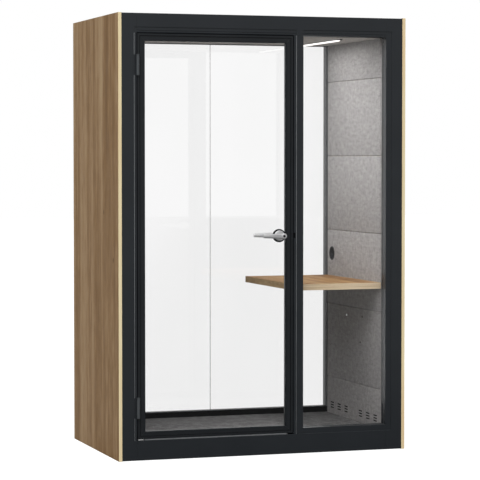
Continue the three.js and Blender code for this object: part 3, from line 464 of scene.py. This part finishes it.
# Air: a square fan over the ceiling slots with a seven bladed rotor, and the power supply beside it, both
# screwed to the top of the ceiling board.
for node in ("fan_frame", "fan_rotor"):
    eased(node, plastic, 0.4 * MM)
zinc, tree, shader, where = material("galvanised_steel", Metallic=1.0)
spangle = place(tree, "TexVoronoi", {"Vector": where, "Scale": 140.0}).outputs["Color"]
shade = ramp(tree, spangle, (0.2, "#a3a7aa"), (0.8, "#c3c6c8"))
fill(tree, shader, {"Base Color": shade, "Roughness": fitted(tree, spangle, 0.0, 1.0, 0.32, 0.5)})
eased("power_supply", zinc, 0.8 * MM)

# Ceiling light: a slim anthracite aluminium profile with an opal plastic diffuser that glows, and a black
# plastic motion sensor in front of it. Both are screwed to the ceiling.
LIGHT_STRENGTH = 1.3
eased("light_profile", anthracite, 0.5 * MM)
opal, tree, shader, where = material("opal_diffuser", Roughness=0.45)
fill(tree, shader, {"Base Color": paint("#f4f0ea"), "Emission Strength": LIGHT_STRENGTH})
diodes = spots(tree, where, (8, 60, 8), 1.0)
fill(tree, shader, {"Emission Color": ramp(tree, diodes, (0.3, "#fffbf6"), (0.7, "#fffefc"))})
eased("light_diffuser", opal, 0.4 * MM)

low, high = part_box("motion_sensor")
sensor_r = (high.x - low.x) / 2
sensor_d = high.z - low.z
SENSOR_RIM = 2 * MM
SENSOR_EDGE = 0.5 * MM
lens = arc(0, SENSOR_RIM, sensor_d - SENSOR_RIM, 0, 90, 8)
rim = [(sensor_r, 0), (sensor_r, SENSOR_RIM - SENSOR_EDGE), (sensor_r - SENSOR_EDGE, SENSOR_RIM)]
dome = [(0, 0), *rim, *lens]
centre = ((low.x + high.x) / 2, (low.y + high.y) / 2, high.z)
sensor = shown("motion_sensor_dome", turned(dome, centre, (0, 0, -1), 48), plastic, "pod")
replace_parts(sensor, "motion_sensor")

# Back frame: anthracite box sections screwed between the side panels, with two laminated panes in grooves.
# The panes meet in a clear plastic H profile, and slim beads hold them. Frame and beads are drawn in a
# lighter grey copy of the anthracite, painted light, and a black sheet inside the bottom rail is painted
# shade.
# A lighter grey copy of the anthracite coat: painted light on the back frame.
back_coat_painted_light = powder_coat("back_powder_coat_painted_light", 0.2, "#393b3d", "#3c3e40", "#3f4143")
for node in ("back_left_stile", "back_right_stile", "back_top_rail", "back_bottom_rail"):
    eased(node, back_coat_painted_light, 0.8 * MM)
# Painted shade: a black sheet just inside the back bottom rail, from the carpet up, where the rail lies in
# shade.
PAINTED_SHADE_T = 2 * MM
PAINTED_SHADE_OFF = 0.1 * MM
PAINTED_SHADE_UP = 0.2 * MM
painted_shade_black = powder_coat("black_painted_shade", 0.06, "#060708", "#08090a", "#0a0b0c")
low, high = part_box("back_bottom_rail")
low.y, high.y = low.y - PAINTED_SHADE_T - PAINTED_SHADE_OFF, low.y - PAINTED_SHADE_OFF
low.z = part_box("carpet")[1].z + PAINTED_SHADE_UP
painted_shade_sheet = bmesh.new()
bmesh.ops.create_cube(painted_shade_sheet, size=1.0)
bmesh.ops.scale(painted_shade_sheet, vec=high - low, verts=painted_shade_sheet.verts)
bmesh.ops.translate(painted_shade_sheet, vec=(low + high) / 2, verts=painted_shade_sheet.verts)
rounded(shown("back_painted_shade_sheet", painted_shade_sheet, painted_shade_black, "pod"), 0.6 * MM)

glass, tree, shader, where = material("clear_glass", Roughness=0.0, IOR=1.5, Transmission_Weight=1.0)
flow = spots(tree, where, (3, 3, 2), 1.0)
fill(tree, shader, {"Base Color": ramp(tree, flow, (0.3, "#ffffff"), (0.7, "#fefefe"))})
fill(tree, shader, {"Specular IOR Level": 0.1, "Normal": bump(tree, flow, 0.02 * MM)})
clear = place(tree, "BsdfTransparent", {"Color": paint("#f5f5f5")}).outputs[0]
rays = place(tree, "LightPath", {}).outputs
cast = place(tree, "MixShader", {0: rays["Is Shadow Ray"], 1: shader.outputs[0], 2: clear}).outputs[0]
cast = place(tree, "MixShader", {0: rays["Is Diffuse Ray"], 1: cast, 2: clear}).outputs[0]
tree.links.new(cast, tree.nodes["Material Output"].inputs["Surface"])
SEAT = 0.3 * MM


def glazed(node, right):
    """A pane in place of a CAD node, cut at the frame on its right so that no dark groove shows in it."""
    pane = solid_of(node)
    for vert in pane.verts:
        vert.co.x = min(vert.co.x, right + SEAT)
    return eased(node, glass, 0.2 * MM, pane)


left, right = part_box("back_left_stile")[1].x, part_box("back_right_stile")[0].x
for node in ("back_left_glass", "back_right_glass"):
    glazed(node, right)


def soft_rubber(name, dark, light):
    """A dull rubber between two shades."""
    finish, tree, shader, where = material(name, Specular_IOR_Level=0.0)
    skin = place(tree, "Group", {"Vector": where, "Per Metre": 900.0}, node_tree=grit).outputs
    shade = ramp(tree, skin["Patch"], (0.3, dark), (0.7, light))
    gloss = fitted(tree, skin["Speck"], 0.3, 0.7, 0.75, 0.95)
    relief = bump(tree, skin["Speck"], 0.05 * MM)
    fill(tree, shader, {"Base Color": shade, "Roughness": gloss, "Normal": relief})
    return finish


rubber = soft_rubber("black_rubber", "#101214", "#191b1e")
SEAL_W = 1.5 * MM
SEAL_D = 3 * MM


def glazing_seal(name, low, high, y, depth, width=SEAL_W, body="pod", more_left=0.0, finish=rubber):
    """A lip round an opening, given by X and Z corners, that goes from y to a depth along Y."""
    shape = bmesh.new()
    corners = [(low[0], low[1]), (high[0], low[1]), (high[0], high[1]), (low[0], high[1])]
    pane = shape.faces.new([shape.verts.new((x, y, z)) for x, z in corners])
    pane.normal_update()
    bmesh.ops.inset_region(shape, faces=[pane], thickness=width, use_boundary=True, use_even_offset=True)
    hinge_side = [v for v in pane.verts if v.co.x < (low[0] + high[0]) / 2]
    bmesh.ops.translate(shape, verts=hinge_side, vec=(more_left, 0, 0))
    bmesh.ops.delete(shape, geom=[pane], context="FACES_ONLY")
    made = bmesh.ops.extrude_face_region(shape, geom=shape.faces[:])["geom"]
    moved = [v for v in made if isinstance(v, bmesh.types.BMVert)]
    bmesh.ops.translate(shape, verts=moved, vec=(0, depth, 0))
    bmesh.ops.recalc_face_normals(shape, faces=shape.faces)
    piece = shown(name, shape, finish, body)
    return rounded(piece, 0.5 * MM)


sill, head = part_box("back_bottom_rail")[1].z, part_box("back_top_rail")[0].z
pane_low, pane_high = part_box("back_left_glass")
# The beads take the back frame's painted light coat.
glazing_seal("back_seal_inside", (left, sill), (right, head), pane_low.y - SEAT, -SEAL_D, finish=back_coat_painted_light)
glazing_seal("back_seal_outside", (left, sill), (right, head), pane_high.y + SEAT, SEAL_D, finish=back_coat_painted_light)

FLANGE = 4.5 * MM
FLANGE_T = 1 * MM
WEB_OFF = 0.1 * MM
web = (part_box("back_right_glass")[0].x - pane_high.x) / 2 - WEB_OFF
joint_x = (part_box("back_right_glass")[0].x + pane_high.x) / 2
clear_strip, tree, shader, where = material("clear_profile", Roughness=0.3, Alpha=0.018)
haze = spots(tree, where, (200, 200, 12), 2.0)
fill(tree, shader, {"Base Color": ramp(tree, haze, (0.3, "#8f9192"), (0.7, "#a0a2a3"))})
strip = bmesh.new()
near, far = pane_low.y - SEAT, pane_high.y + SEAT
half = [(FLANGE, near - FLANGE_T), (FLANGE, near), (web, near)]
half += [(web, far), (FLANGE, far), (FLANGE, far + FLANGE_T)]
section = half + [(-x, y) for x, y in reversed(half)]
strip.faces.new([strip.verts.new((joint_x + x, y, sill)) for x, y in section])
made = bmesh.ops.extrude_face_region(strip, geom=strip.faces[:])["geom"]
moved = [v for v in made if isinstance(v, bmesh.types.BMVert)]
bmesh.ops.translate(strip, verts=moved, vec=(0, 0, head - sill))
bmesh.ops.recalc_face_normals(strip, faces=strip.faces)
shown("back_joint_profile", strip, clear_strip, "pod")

# Front frame: anthracite box sections that close the pod's front, with a shallow recess round the door and
# the sidelight. The steel strike and the rubber stop seal for the door are fixed to it.
for node in ("left_stile", "right_stile", "top_rail", "bottom_rail", "mullion"):
    eased("front_" + node, anthracite, 0.8 * MM)
eased("door_stop_seal", rubber, 0.8 * MM)

# Sidelight: one fixed pane of laminated glass in the front frame's groove, held by a slim anthracite
# aluminium bead on either face.
left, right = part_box("front_mullion")[1].x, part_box("front_right_stile")[0].x
glazed("sidelight_glass", right)
pane_low, pane_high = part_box("sidelight_glass")
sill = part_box("front_bottom_rail")[1].z
head = pane_high.z - (sill - pane_low.z)
SLIM = 1 * MM
SLIM_D = 2 * MM
low, high = (left, sill), (right, head)
glazing_seal("sidelight_seal_outside", low, high, pane_low.y - SEAT, -SLIM_D, SLIM, finish=anthracite)
glazing_seal("sidelight_seal_inside", low, high, pane_high.y + SEAT, SLIM_D, SLIM, finish=anthracite)

# Door leaf: four mitred anthracite profiles with a lip and a groove, and a laminated pane near the front
# between a rubber gasket and a slim bead. A bright aluminium drop seal runs under the bottom rail.
door_coat = powder_coat("door_powder_coat", 0.35, "#16191c", "#181b1e", "#1a1d20")
for node in ("hinge_stile", "lock_stile", "top_rail", "bottom_rail"):
    eased("door_" + node, door_coat, 0.6 * MM)
glazed("door_glass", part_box("door_lock_stile")[0].x)
GASKET_W = 2 * MM
GASKET_MORE = 2.2 * MM
BEAD_W = 1.2 * MM
BEAD_UP = 2.5 * MM
BEAD_PROUD = 1.5 * MM
low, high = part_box("door_gasket")
grey_rubber = soft_rubber("grey_rubber", "#1e2123", "#282b2e")
around = ("door_gasket_lip", (low.x, low.z), (high.x, high.z), high.y, low.y - high.y)
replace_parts(glazing_seal(*around, GASKET_W, "door", GASKET_MORE, grey_rubber), "door_gasket")
inside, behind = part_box("door_glass")[1].y + BEAD_UP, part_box("door_hinge_stile")[1].y + BEAD_PROUD
around = ("door_bead", (low.x, low.z), (high.x, high.z), inside, behind - inside)
glazing_seal(*around, BEAD_W, "door", 0.0, door_coat)
bright, tree, shader, where = material("bright_aluminium", Metallic=1.0)
lines = place(tree, "Group", {"Vector": where, "Lines": (20, 900, 900)}, node_tree=brush).outputs
shade = ramp(tree, lines["Haze"], (0.3, "#bfc2c5"), (0.7, "#cfd2d4"))
gloss = fitted(tree, lines["Line"], 0.3, 0.7, 0.25, 0.45)
relief = bump(tree, lines["Line"], 0.02 * MM)
fill(tree, shader, {"Base Color": shade, "Roughness": gloss, "Normal": relief})
eased("door_bottom_seal", bright, 0.5 * MM)

# Recess strips: slim bright aluminium strips at the outer corners of the recess beside the door, painted
# highlights, and black rubber strips along its inner edges, painted shade that darkens the gaps round the
# door.
# They part at the hinges and at the strike.
HIGHLIGHT_STRIP_W = 1.6 * MM
SHADE_STRIP_W = 2.2 * MM
HEAD_SHADE_STRIP = 4.5 * MM
HIGHLIGHT_STRIP_PROUD = 0.2 * MM
SHADE_STRIP_T = 0.3 * MM
STRIKE_GAP = 1 * MM
SIDE_GAP, HEAD_GAP, JAMB_W = 3 * MM, 2 * MM, 15 * MM
recess_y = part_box("door_lock_stile")[0].y
highlight_strip_y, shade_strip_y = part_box("front_mullion")[0].y - HIGHLIGHT_STRIP_PROUD, recess_y - SHADE_STRIP_T


def strips(name, finish, x0, x1, y, spans):
    """Straight strips that stand on the recess and reach forward to y, one for each (low, high) span."""
    shape = bmesh.new()
    for z0, z1 in spans:
        made = bmesh.ops.create_cube(shape, size=1.0)["verts"]
        bmesh.ops.scale(shape, vec=(x1 - x0, recess_y - y, z1 - z0), verts=made)
        bmesh.ops.translate(shape, vec=((x0 + x1) / 2, (y + recess_y) / 2, (z0 + z1) / 2), verts=made)
    return rounded(shown(name, shape, finish, "pod"), 0.1 * MM)


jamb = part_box("door_hinge_stile")[0].x - SIDE_GAP
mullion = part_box("door_lock_stile")[1].x + SIDE_GAP
low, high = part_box("front_mullion")[0].z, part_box("door_hinge_stile")[1].z + HEAD_GAP
lower, upper, strike = (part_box(node) for node in ("hinge_lower_pin", "hinge_upper_pin", "strike_plate"))
beside_hinges = [(low, lower[0].z), (lower[1].z, upper[0].z), (upper[1].z, high)]
beside_strike = [(low, strike[0].z - STRIKE_GAP), (strike[1].z + STRIKE_GAP, high)]
# Painted highlights: bright strips where the recess corners catch light.
strips("recess_painted_highlight_left", bright, jamb - JAMB_W, jamb - JAMB_W + HIGHLIGHT_STRIP_W, highlight_strip_y, beside_hinges)
strips("recess_painted_highlight_right", bright, mullion + JAMB_W - HIGHLIGHT_STRIP_W, mullion + JAMB_W, highlight_strip_y, [(low, high)])
# Painted shade: black strips that darken the gaps round the door.
strips("gap_painted_shade_left", rubber, jamb - SHADE_STRIP_W, jamb, shade_strip_y, beside_hinges)
strips("gap_painted_shade_right", rubber, mullion, mullion + SHADE_STRIP_W, shade_strip_y, beside_strike)
strips("gap_painted_shade_head", rubber, jamb, mullion, shade_strip_y, [(high, high + HEAD_SHADE_STRIP)])

# Hinges: two lift-off barrel hinges in powder coated steel, with leaves let into the frame and the door,
# three countersunk screws in each leaf, and a steel pin.
barrel, tree, shader, where = material("coated_steel", Specular_IOR_Level=0.5)
coat = place(tree, "Group", {"Vector": where, "Per Metre": 1500.0}, node_tree=grit).outputs
shade = ramp(tree, coat["Patch"], (0.3, "#33373a"), (0.7, "#3c4043"))
gloss = fitted(tree, coat["Speck"], 0.3, 0.7, 0.32, 0.45)
relief = bump(tree, coat["Speck"], 0.03 * MM)
fill(tree, shader, {"Base Color": shade, "Roughness": gloss, "Normal": relief})

SCREW_R = 4 * MM
SCREW_STEP = 38 * MM
SCREW_IN = 14 * MM
SCREW_EDGE = 0.4 * MM
SCREW_SOCKET = 1.7 * MM
SCREW_PROUD = 0.15 * MM
SCREW_DEEP = 1.5 * MM


def screw_heads(name, places, facing, finish, body):
    """Countersunk screw heads with hexagon sockets, at places on a face that looks along facing."""
    head = bmesh.new()
    bmesh.ops.create_circle(head, cap_ends=True, radius=SCREW_R, segments=24)
    head.faces.ensure_lookup_table()
    top = head.faces[0]
    top.normal_update()
    for inset, rise in ((SCREW_EDGE, SCREW_PROUD), (SCREW_R - SCREW_EDGE - SCREW_SOCKET, 0.0)):
        bmesh.ops.inset_region(head, faces=[top], thickness=inset, use_boundary=True, use_even_offset=True)
        bmesh.ops.translate(head, verts=top.verts, vec=(0, 0, rise))
    for vert in top.verts:
        angle = math.atan2(vert.co.y, vert.co.x) % (math.pi / 3) - math.pi / 6
        vert.co.xy = vert.co.xy.normalized() * SCREW_SOCKET / math.cos(angle)
    sunk = bmesh.ops.extrude_face_region(head, geom=[top])["geom"]
    bmesh.ops.delete(head, geom=[top], context="FACES_ONLY")
    moved = [v for v in sunk if isinstance(v, bmesh.types.BMVert)]
    bmesh.ops.translate(head, verts=moved, vec=(0, 0, -SCREW_DEEP))
    turn = Vector((0, 0, 1)).rotation_difference(Vector(facing)).to_matrix().to_4x4()
    bmesh.ops.transform(head, matrix=turn, verts=head.verts)
    pattern = bpy.data.meshes.new(name)
    head.to_mesh(pattern)
    head.free()
    heads = bmesh.new()
    for spot in places:
        count = len(heads.verts)
        heads.from_mesh(pattern)
        heads.verts.ensure_lookup_table()
        bmesh.ops.translate(heads, verts=heads.verts[count:], vec=spot)
    bpy.data.meshes.remove(pattern)
    return shown(name, heads, finish, body)


for hinge in ("upper", "lower"):
    for part, body, facing in (("frame", "pod", 1), ("door", "door", -1)):
        node = f"hinge_{hinge}_{part}_leaf"
        eased(node, barrel, 0.6 * MM)
        low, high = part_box(node)
        side = (jamb if part == "frame" else jamb + SIDE_GAP) - facing * SEAT
        middle = Vector((side, high.y - SCREW_IN, (low.z + high.z) / 2))
        places = [middle + Vector((0, 0, k * SCREW_STEP)) for k in (-1, 0, 1)]
        screw_heads(f"hinge_{hinge}_{part}_screws", places, (facing, 0, 0), barrel, body)
    eased(f"hinge_{hinge}_pin", barrel, 0.8 * MM)

# Handle set: on each face of the pane a rosette, a black ring round a satin chrome dome, and a chrome lever
# on one square spindle. The outer lever holds a dark key plug.
GLASS_FRONT, GLASS_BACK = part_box("door_glass")[0].y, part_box("door_glass")[1].y
low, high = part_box("outer_rosette")
axis_x, axis_z = (low.x + high.x) / 2, (low.z + high.z) / 2
rosette_r = (high.x - low.x) / 2
rosette_t = high.y - low.y
RING_W = 6 * MM
RING_T = 4 * MM
RING_EDGE = 2.5 * MM
RING_GAP = 0.2 * MM
DOME_EDGE = 4 * MM
NECK_R = 10 * MM
NECK_HOLE = 10.5 * MM
LEVER_REACH = GLASS_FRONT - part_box("outer_lever")[0].y
HUB_R = 14 * MM
HUB_EDGE = 3 * MM
GRIP_T = 12 * MM
GRIP_ROOT = 26 * MM
GRIP_TIP = 19 * MM
GRIP_THIN = 0.8
GRIP_EDGE = 4.6 * MM
FLARE = 9 * MM
FLARE_MID = 4 * MM
FLARE_OUT = 1 * MM
PLUG_HOLE = 6.3 * MM
PLUG_DEPTH = 10.3 * MM


def combined(first, second, how):
    """Adds a second closed piece to a first, or takes it away, and leaves one skin as a bmesh."""
    join = first.modifiers.new("join", "BOOLEAN")
    join.operation, join.solver, join.object = how, "EXACT", second
    bpy.context.view_layer.update()
    skin = bpy.data.meshes.new_from_object(first.evaluated_get(bpy.context.evaluated_depsgraph_get()))
    for old in (first, second):
        bpy.data.objects.remove(old)
    shape = bmesh.new()
    shape.from_mesh(skin)
    bpy.data.meshes.remove(skin)
    return shape


def lever(name, node, face, out, plug_hole):
    """A lever: a turned hub that flares from its neck, and a tapered grip with round edges."""
    centre = (axis_x, face, axis_z)
    grip_out = LEVER_REACH - HUB_EDGE / 2
    grip_in = grip_out - GRIP_T
    start = abs((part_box(node)[1].y if out < 0 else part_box(node)[0].y) - face)
    crown = arc(HUB_R - HUB_EDGE, LEVER_REACH - HUB_EDGE, HUB_EDGE, 0, 90)
    waist = [(NECK_R, start), (NECK_R, grip_in - FLARE)]
    waist += [(NECK_R + FLARE_OUT, grip_in - FLARE_MID), (HUB_R, grip_in)]
    profile = [(0, start), *waist, *crown, (0, LEVER_REACH)]
    hub = shown(name + "_hub", turned(profile, centre, (0, out, 0)), chrome, "lever")
    low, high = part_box(node)
    reach = axis_x - low.x
    bar = bmesh.new()
    bmesh.ops.create_cube(bar, size=1.0)
    bmesh.ops.scale(bar, vec=(reach, GRIP_T, GRIP_ROOT), verts=bar.verts)
    tip = [v for v in bar.verts if v.co.x < 0]
    bmesh.ops.scale(bar, vec=(1, GRIP_THIN, GRIP_TIP / GRIP_ROOT), verts=tip)
    bmesh.ops.bevel(
        bar, geom=bar.edges[:], offset=GRIP_EDGE, segments=5, profile=0.5, affect="EDGES", material=-1
    )
    middle = (axis_x - reach / 2, face + out * (grip_in + grip_out) / 2, axis_z)
    bmesh.ops.translate(bar, vec=middle, verts=bar.verts)
    grip = shown(name + "_grip", bar, chrome, "lever")
    shape = combined(hub, grip, "UNION")
    if plug_hole:
        deep, open_end = LEVER_REACH - PLUG_DEPTH, LEVER_REACH + 1 * MM
        drill = [(0, deep), (PLUG_HOLE, deep), (PLUG_HOLE, open_end), (0, open_end)]
        drill = shown(name + "_drill", turned(drill, centre, (0, out, 0)), chrome, "lever")
        shape = combined(shown(name + "_blank", shape, chrome, "lever"), drill, "DIFFERENCE")
    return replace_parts(shown(name, shape, chrome, "lever"), node)


for place_name, face, out in (("outer", GLASS_FRONT, -1), ("inner", GLASS_BACK, 1)):
    centre = (axis_x, face + out * SEAT, axis_z)
    inner_r = rosette_r - RING_W
    edge = arc(rosette_r - RING_EDGE, RING_T - RING_EDGE, RING_EDGE, 0, 90)
    ring = [(inner_r, 0), (rosette_r, 0), *edge, (inner_r, RING_T)]
    ring = turned(ring, centre, (0, out, 0), 96)
    shown(f"{place_name}_rosette_ring", ring, rubber, "door")
    crown = arc(inner_r - DOME_EDGE, rosette_t - DOME_EDGE, DOME_EDGE - RING_GAP, 0, 90, 8)
    dome = [(NECK_HOLE, 0), (inner_r - RING_GAP, 0), *crown, (NECK_HOLE, rosette_t)]
    dome = turned(dome, centre, (0, out, 0), 96)
    cover_piece = shown(f"{place_name}_rosette_dome", dome, chrome, "door")
    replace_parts(cover_piece, f"{place_name}_rosette")
lever("outer_lever_polished", "outer_lever", GLASS_FRONT, -1, True)
lever("inner_lever_polished", "inner_lever", GLASS_BACK, 1, False)

dark_steel, tree, shader, where = material("black_oxide", Metallic=1.0)
lines = place(tree, "Group", {"Vector": where, "Lines": (900, 900, 900)}, node_tree=brush).outputs
shade = ramp(tree, lines["Haze"], (0.3, "#2b2b2c"), (0.7, "#363637"))
gloss = fitted(tree, lines["Line"], 0.3, 0.7, 0.3, 0.45)
fill(tree, shader, {"Base Color": shade, "Roughness": gloss})
eased("key_plug", dark_steel, 0.3 * MM)
eased("handle_spindle", zinc, 0.3 * MM)

# Latch: a steel case let into the lock stile, with a face plate held by two screws and a dark steel bolt,
# and on the mullion the dark coated strike plate that the bolt drops into.
PLATE_SCREW = 21 * MM
eased("latch_case", chrome, 0.3 * MM)
eased("latch_bolt", dark_steel, 0.3 * MM)
eased("strike_plate", door_coat, 0.3 * MM)
plate_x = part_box("latch_case")[1].x
plate_y = (GLASS_FRONT + GLASS_BACK) / 2
places = [Vector((plate_x, plate_y, axis_z + k * PLATE_SCREW)) for k in (-1, 1)]
screw_heads("latch_plate_screws", places, (1, 0, 0), dark_steel, "door")

# Desk: a 32.5 mm board faced with oak, with pale edges; its left end and the left part of its top are
# darker, painted shade. It lies on two flat steel arms that are let into its underside and welded to a bar
# in the wall.
DESK_PAINTED_SHADE = (0.22, 0.42)
desk_oak, tree, shader, where = material("desk_oak", Specular_IOR_Level=0.02)
parts = place(tree, "SeparateXYZ", {0: where}).outputs
along = place(tree, "CombineXYZ", {0: parts["Z"], 1: parts["X"], 2: parts["Y"]}).outputs[0]
grain = place(tree, "Group", {"Along Z": along}, node_tree=oak_grain).outputs
face = ramp(tree, grain["Tone"], (0.0, "#7e5c3c"), (0.35, "#97754f"), (0.7, "#aa8a62"), (1.0, "#b89a70"))
face = mixed(tree, math_of(tree, "MULTIPLY", grain["Pores"], 0.35), face, paint("#6b4f36"))
# Painted shade: the left part of the top, nearest the door, is darker.
face = mixed(tree, fitted(tree, parts["X"], *DESK_PAINTED_SHADE, 0.6, 0.0), face, paint("#7a5c3f"))
level = place(tree, "CombineXYZ", {0: parts["Y"], 1: parts["Z"], 2: parts["X"]}).outputs[0]
lipping = place(tree, "Group", {"Along Z": level}, node_tree=oak_grain).outputs["Streak"]
edging = ramp(tree, lipping, (0.35, "#bfa686"), (0.5, "#d6c1a2"), (0.65, "#e0ceb1"))
# Painted shade: the desk's left end is darker than its pale edges.
end_painted_shade = ramp(tree, lipping, (0.35, "#98805f"), (0.65, "#b49b76"))
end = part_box("desk_top")[0].x
edging = mixed(tree, math_of(tree, "LESS_THAN", parts["X"], end + EDGING_T), edging, end_painted_shade)
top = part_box("desk_top")[1].z
is_face = math_of(tree, "GREATER_THAN", parts["Z"], top - EDGING_T)
relief = math_of(tree, "SUBTRACT", grain["Streak"], grain["Pores"])
fill(
    tree,
    shader,
    {
        "Base Color": mixed(tree, is_face, edging, face),
        "Roughness": fitted(tree, grain["Streak"], 0.3, 0.7, 0.45, 0.6),
        "Normal": bump(tree, relief, 0.1 * MM),
    },
)
eased("desk_top", desk_oak, 1.2 * MM)
eased("desk_support", anthracite, 0.6 * MM)

# Studio: a pale floor and a white backdrop that the camera and the glass see, soft light from all round, a
# large soft lamp from the front left and two in the cabin. It is dark behind the camera and on the floor
# before the pod, so that little mirrors in the glass.
FLOOR_SPAN = 80
FILL_FRONT = 1.4
FILL_BACK = 0.06
FILL_LOW = 0.6
FLOOR_GLOW = 0.8
MIRRORED = 0.6
DARK = 0.08
FLOOR_MIRRORED = 0.45
FLOOR_DARK = 0.08
BEHIND_GLASS = 0.98
STRIP_SHIFT = 0.14
STRIP_SIDES = (0.7, 1.8)
STRIP_ENDS = (-0.45, 0.5)
CONE = (14, 6)
YAW = math.radians(18.267)
PITCH = math.radians(2.231)
ground, tree, shader, where = material("pale_floor", Roughness=0.9, Specular_IOR_Level=0.0)
dust = spots(tree, where, (0.5, 0.5, 0.5), 2.0)
fill(tree, shader, {"Base Color": ramp(tree, dust, (0.3, "#f2f2f2"), (0.7, "#f4f4f4"))})
rays = place(tree, "LightPath", {}).outputs
glow = place(tree, "Emission", {"Color": (1, 1, 1, 1), "Strength": 1.25}).outputs[0]
direct = math_of(tree, "MAXIMUM", rays["Is Camera Ray"], rays["Is Transmission Ray"])
share = math_of(tree, "MULTIPLY", direct, FLOOR_GLOW)
lit = place(tree, "MixShader", {0: share, 1: shader.outputs[0], 2: glow}).outputs[0]
dim = place(tree, "BsdfDiffuse", {"Color": paint("#a0a0a0")}).outputs[0]
lit = place(tree, "MixShader", {0: rays["Is Diffuse Ray"], 1: lit, 2: dim}).outputs[0]
sideways = (math.cos(YAW), math.sin(YAW), 0)
beside = place(tree, "VectorMath", {0: where, 1: sideways}, operation="DOT_PRODUCT").outputs["Value"]
beside = math_of(tree, "ABSOLUTE", math_of(tree, "ADD", beside, STRIP_SHIFT), 0.0)
depth = place(tree, "SeparateXYZ", {0: where}).outputs["Y"]
strength = fitted(tree, beside, *STRIP_SIDES, FLOOR_DARK, FLOOR_MIRRORED)
strength = math_of(tree, "MAXIMUM", strength, fitted(tree, depth, *STRIP_ENDS))
mirrored = place(tree, "Emission", {"Strength": strength}).outputs[0]
lit = place(tree, "MixShader", {0: rays["Is Glossy Ray"], 1: lit, 2: mirrored}).outputs[0]
tree.links.new(lit, tree.nodes["Material Output"].inputs["Surface"])
sheet = bmesh.new()
bmesh.ops.create_grid(sheet, x_segments=1, y_segments=1, size=FLOOR_SPAN / 2)
floor_mesh = bpy.data.meshes.new("studio_floor")
sheet.to_mesh(floor_mesh)
sheet.free()
floor_mesh.materials.append(ground)
studio_floor = bpy.data.objects.new("studio_floor", floor_mesh)
bpy.context.scene.collection.objects.link(studio_floor)

world = bpy.data.worlds.new("studio")
world.use_nodes = True
bpy.context.scene.world = world
sky = world.node_tree
rays = place(sky, "LightPath", {}).outputs
toward = place(sky, "TexCoord", {}).outputs["Generated"]
parts = place(sky, "SeparateXYZ", {0: toward}).outputs
depth = parts["Y"]
away = (math.sin(YAW), -math.cos(YAW), -math.sin(PITCH))
facing = place(sky, "VectorMath", {0: toward, 1: away}, operation="DOT_PRODUCT").outputs["Value"]
rim, core = (math.cos(math.radians(angle)) for angle in CONE)
cloth = fitted(sky, facing, rim, core, MIRRORED, DARK)
mirrored = math_of(sky, "MAXIMUM", cloth, fitted(sky, depth, 0.0, 0.3))
fill_light = fitted(sky, depth, -0.6, 0.6, FILL_FRONT, FILL_BACK)
fill_light = math_of(sky, "MULTIPLY", fill_light, fitted(sky, parts["Z"], 0.0, 0.6, FILL_LOW, 1.0))
level = place(sky, "Mix", {0: rays["Is Glossy Ray"], 2: fill_light, 3: mirrored}).outputs[0]
level = place(sky, "Mix", {0: rays["Is Camera Ray"], 2: level, 3: 1.0}).outputs[0]
level = place(sky, "Mix", {0: rays["Is Transmission Ray"], 2: level, 3: BEHIND_GLASS}).outputs[0]
fill(sky, sky.nodes["Background"], {"Color": (1, 1, 1, 1), "Strength": level})

key = bpy.data.lights.new("key_lamp", "AREA")
key.shape, key.size, key.size_y, key.energy = "RECTANGLE", 9.0, 7.0, 760.0
key_lamp = bpy.data.objects.new("key_lamp", key)
bpy.context.scene.collection.objects.link(key_lamp)
key_lamp.location = (-5.0, -7.0, 9.0)
key_lamp.rotation_euler = (Vector((0, 0, 1.1)) - key_lamp.location).to_track_quat("-Z", "Y").to_euler()


def cabin_lamp(name, spot, aim, width, length, watts):
    """A soft lamp inside the pod that only lights it: nothing sees or mirrors the lamp itself."""
    lamp = bpy.data.lights.new(name, "AREA")
    lamp.shape, lamp.size, lamp.size_y, lamp.energy = "RECTANGLE", width, length, watts
    holder = bpy.data.objects.new(name, lamp)
    bpy.context.scene.collection.objects.link(holder)
    holder.location = spot
    holder.rotation_euler = (Vector(aim) - Vector(spot)).to_track_quat("-Z", "Y").to_euler()
    holder.visible_camera = False
    holder.visible_glossy = False
    holder.visible_transmission = False


low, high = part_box("light_diffuser")
middle = ((low.x + high.x) / 2, (low.y + high.y) / 2, low.z - 1 * MM)
cabin_lamp("ceiling_lamp", middle, (middle[0], middle[1], 0), high.x - low.x, high.y - low.y, 1.0)
cabin_lamp("cabin_lamp", (0.0, 0.0, 2.085), (0.0, 0.0, 0.0), 0.25, 0.6, 11.8)

# Camera: at standing eye height and well to the left, with a long lens, turned to the right and a little
# down.
view = bpy.data.cameras.new("camera")
view.sensor_width, view.lens = 36.0, 158.62
view.clip_end = 200.0
camera = bpy.data.objects.new("camera", view)
bpy.context.scene.collection.objects.link(camera)
camera.location = (-3.4281, -10.4466, 1.4919)
camera.rotation_euler = (math.pi / 2 - PITCH, 0.0, -YAW)
bpy.context.scene.camera = camera
bpy.context.scene.view_settings.view_transform = "Standard"
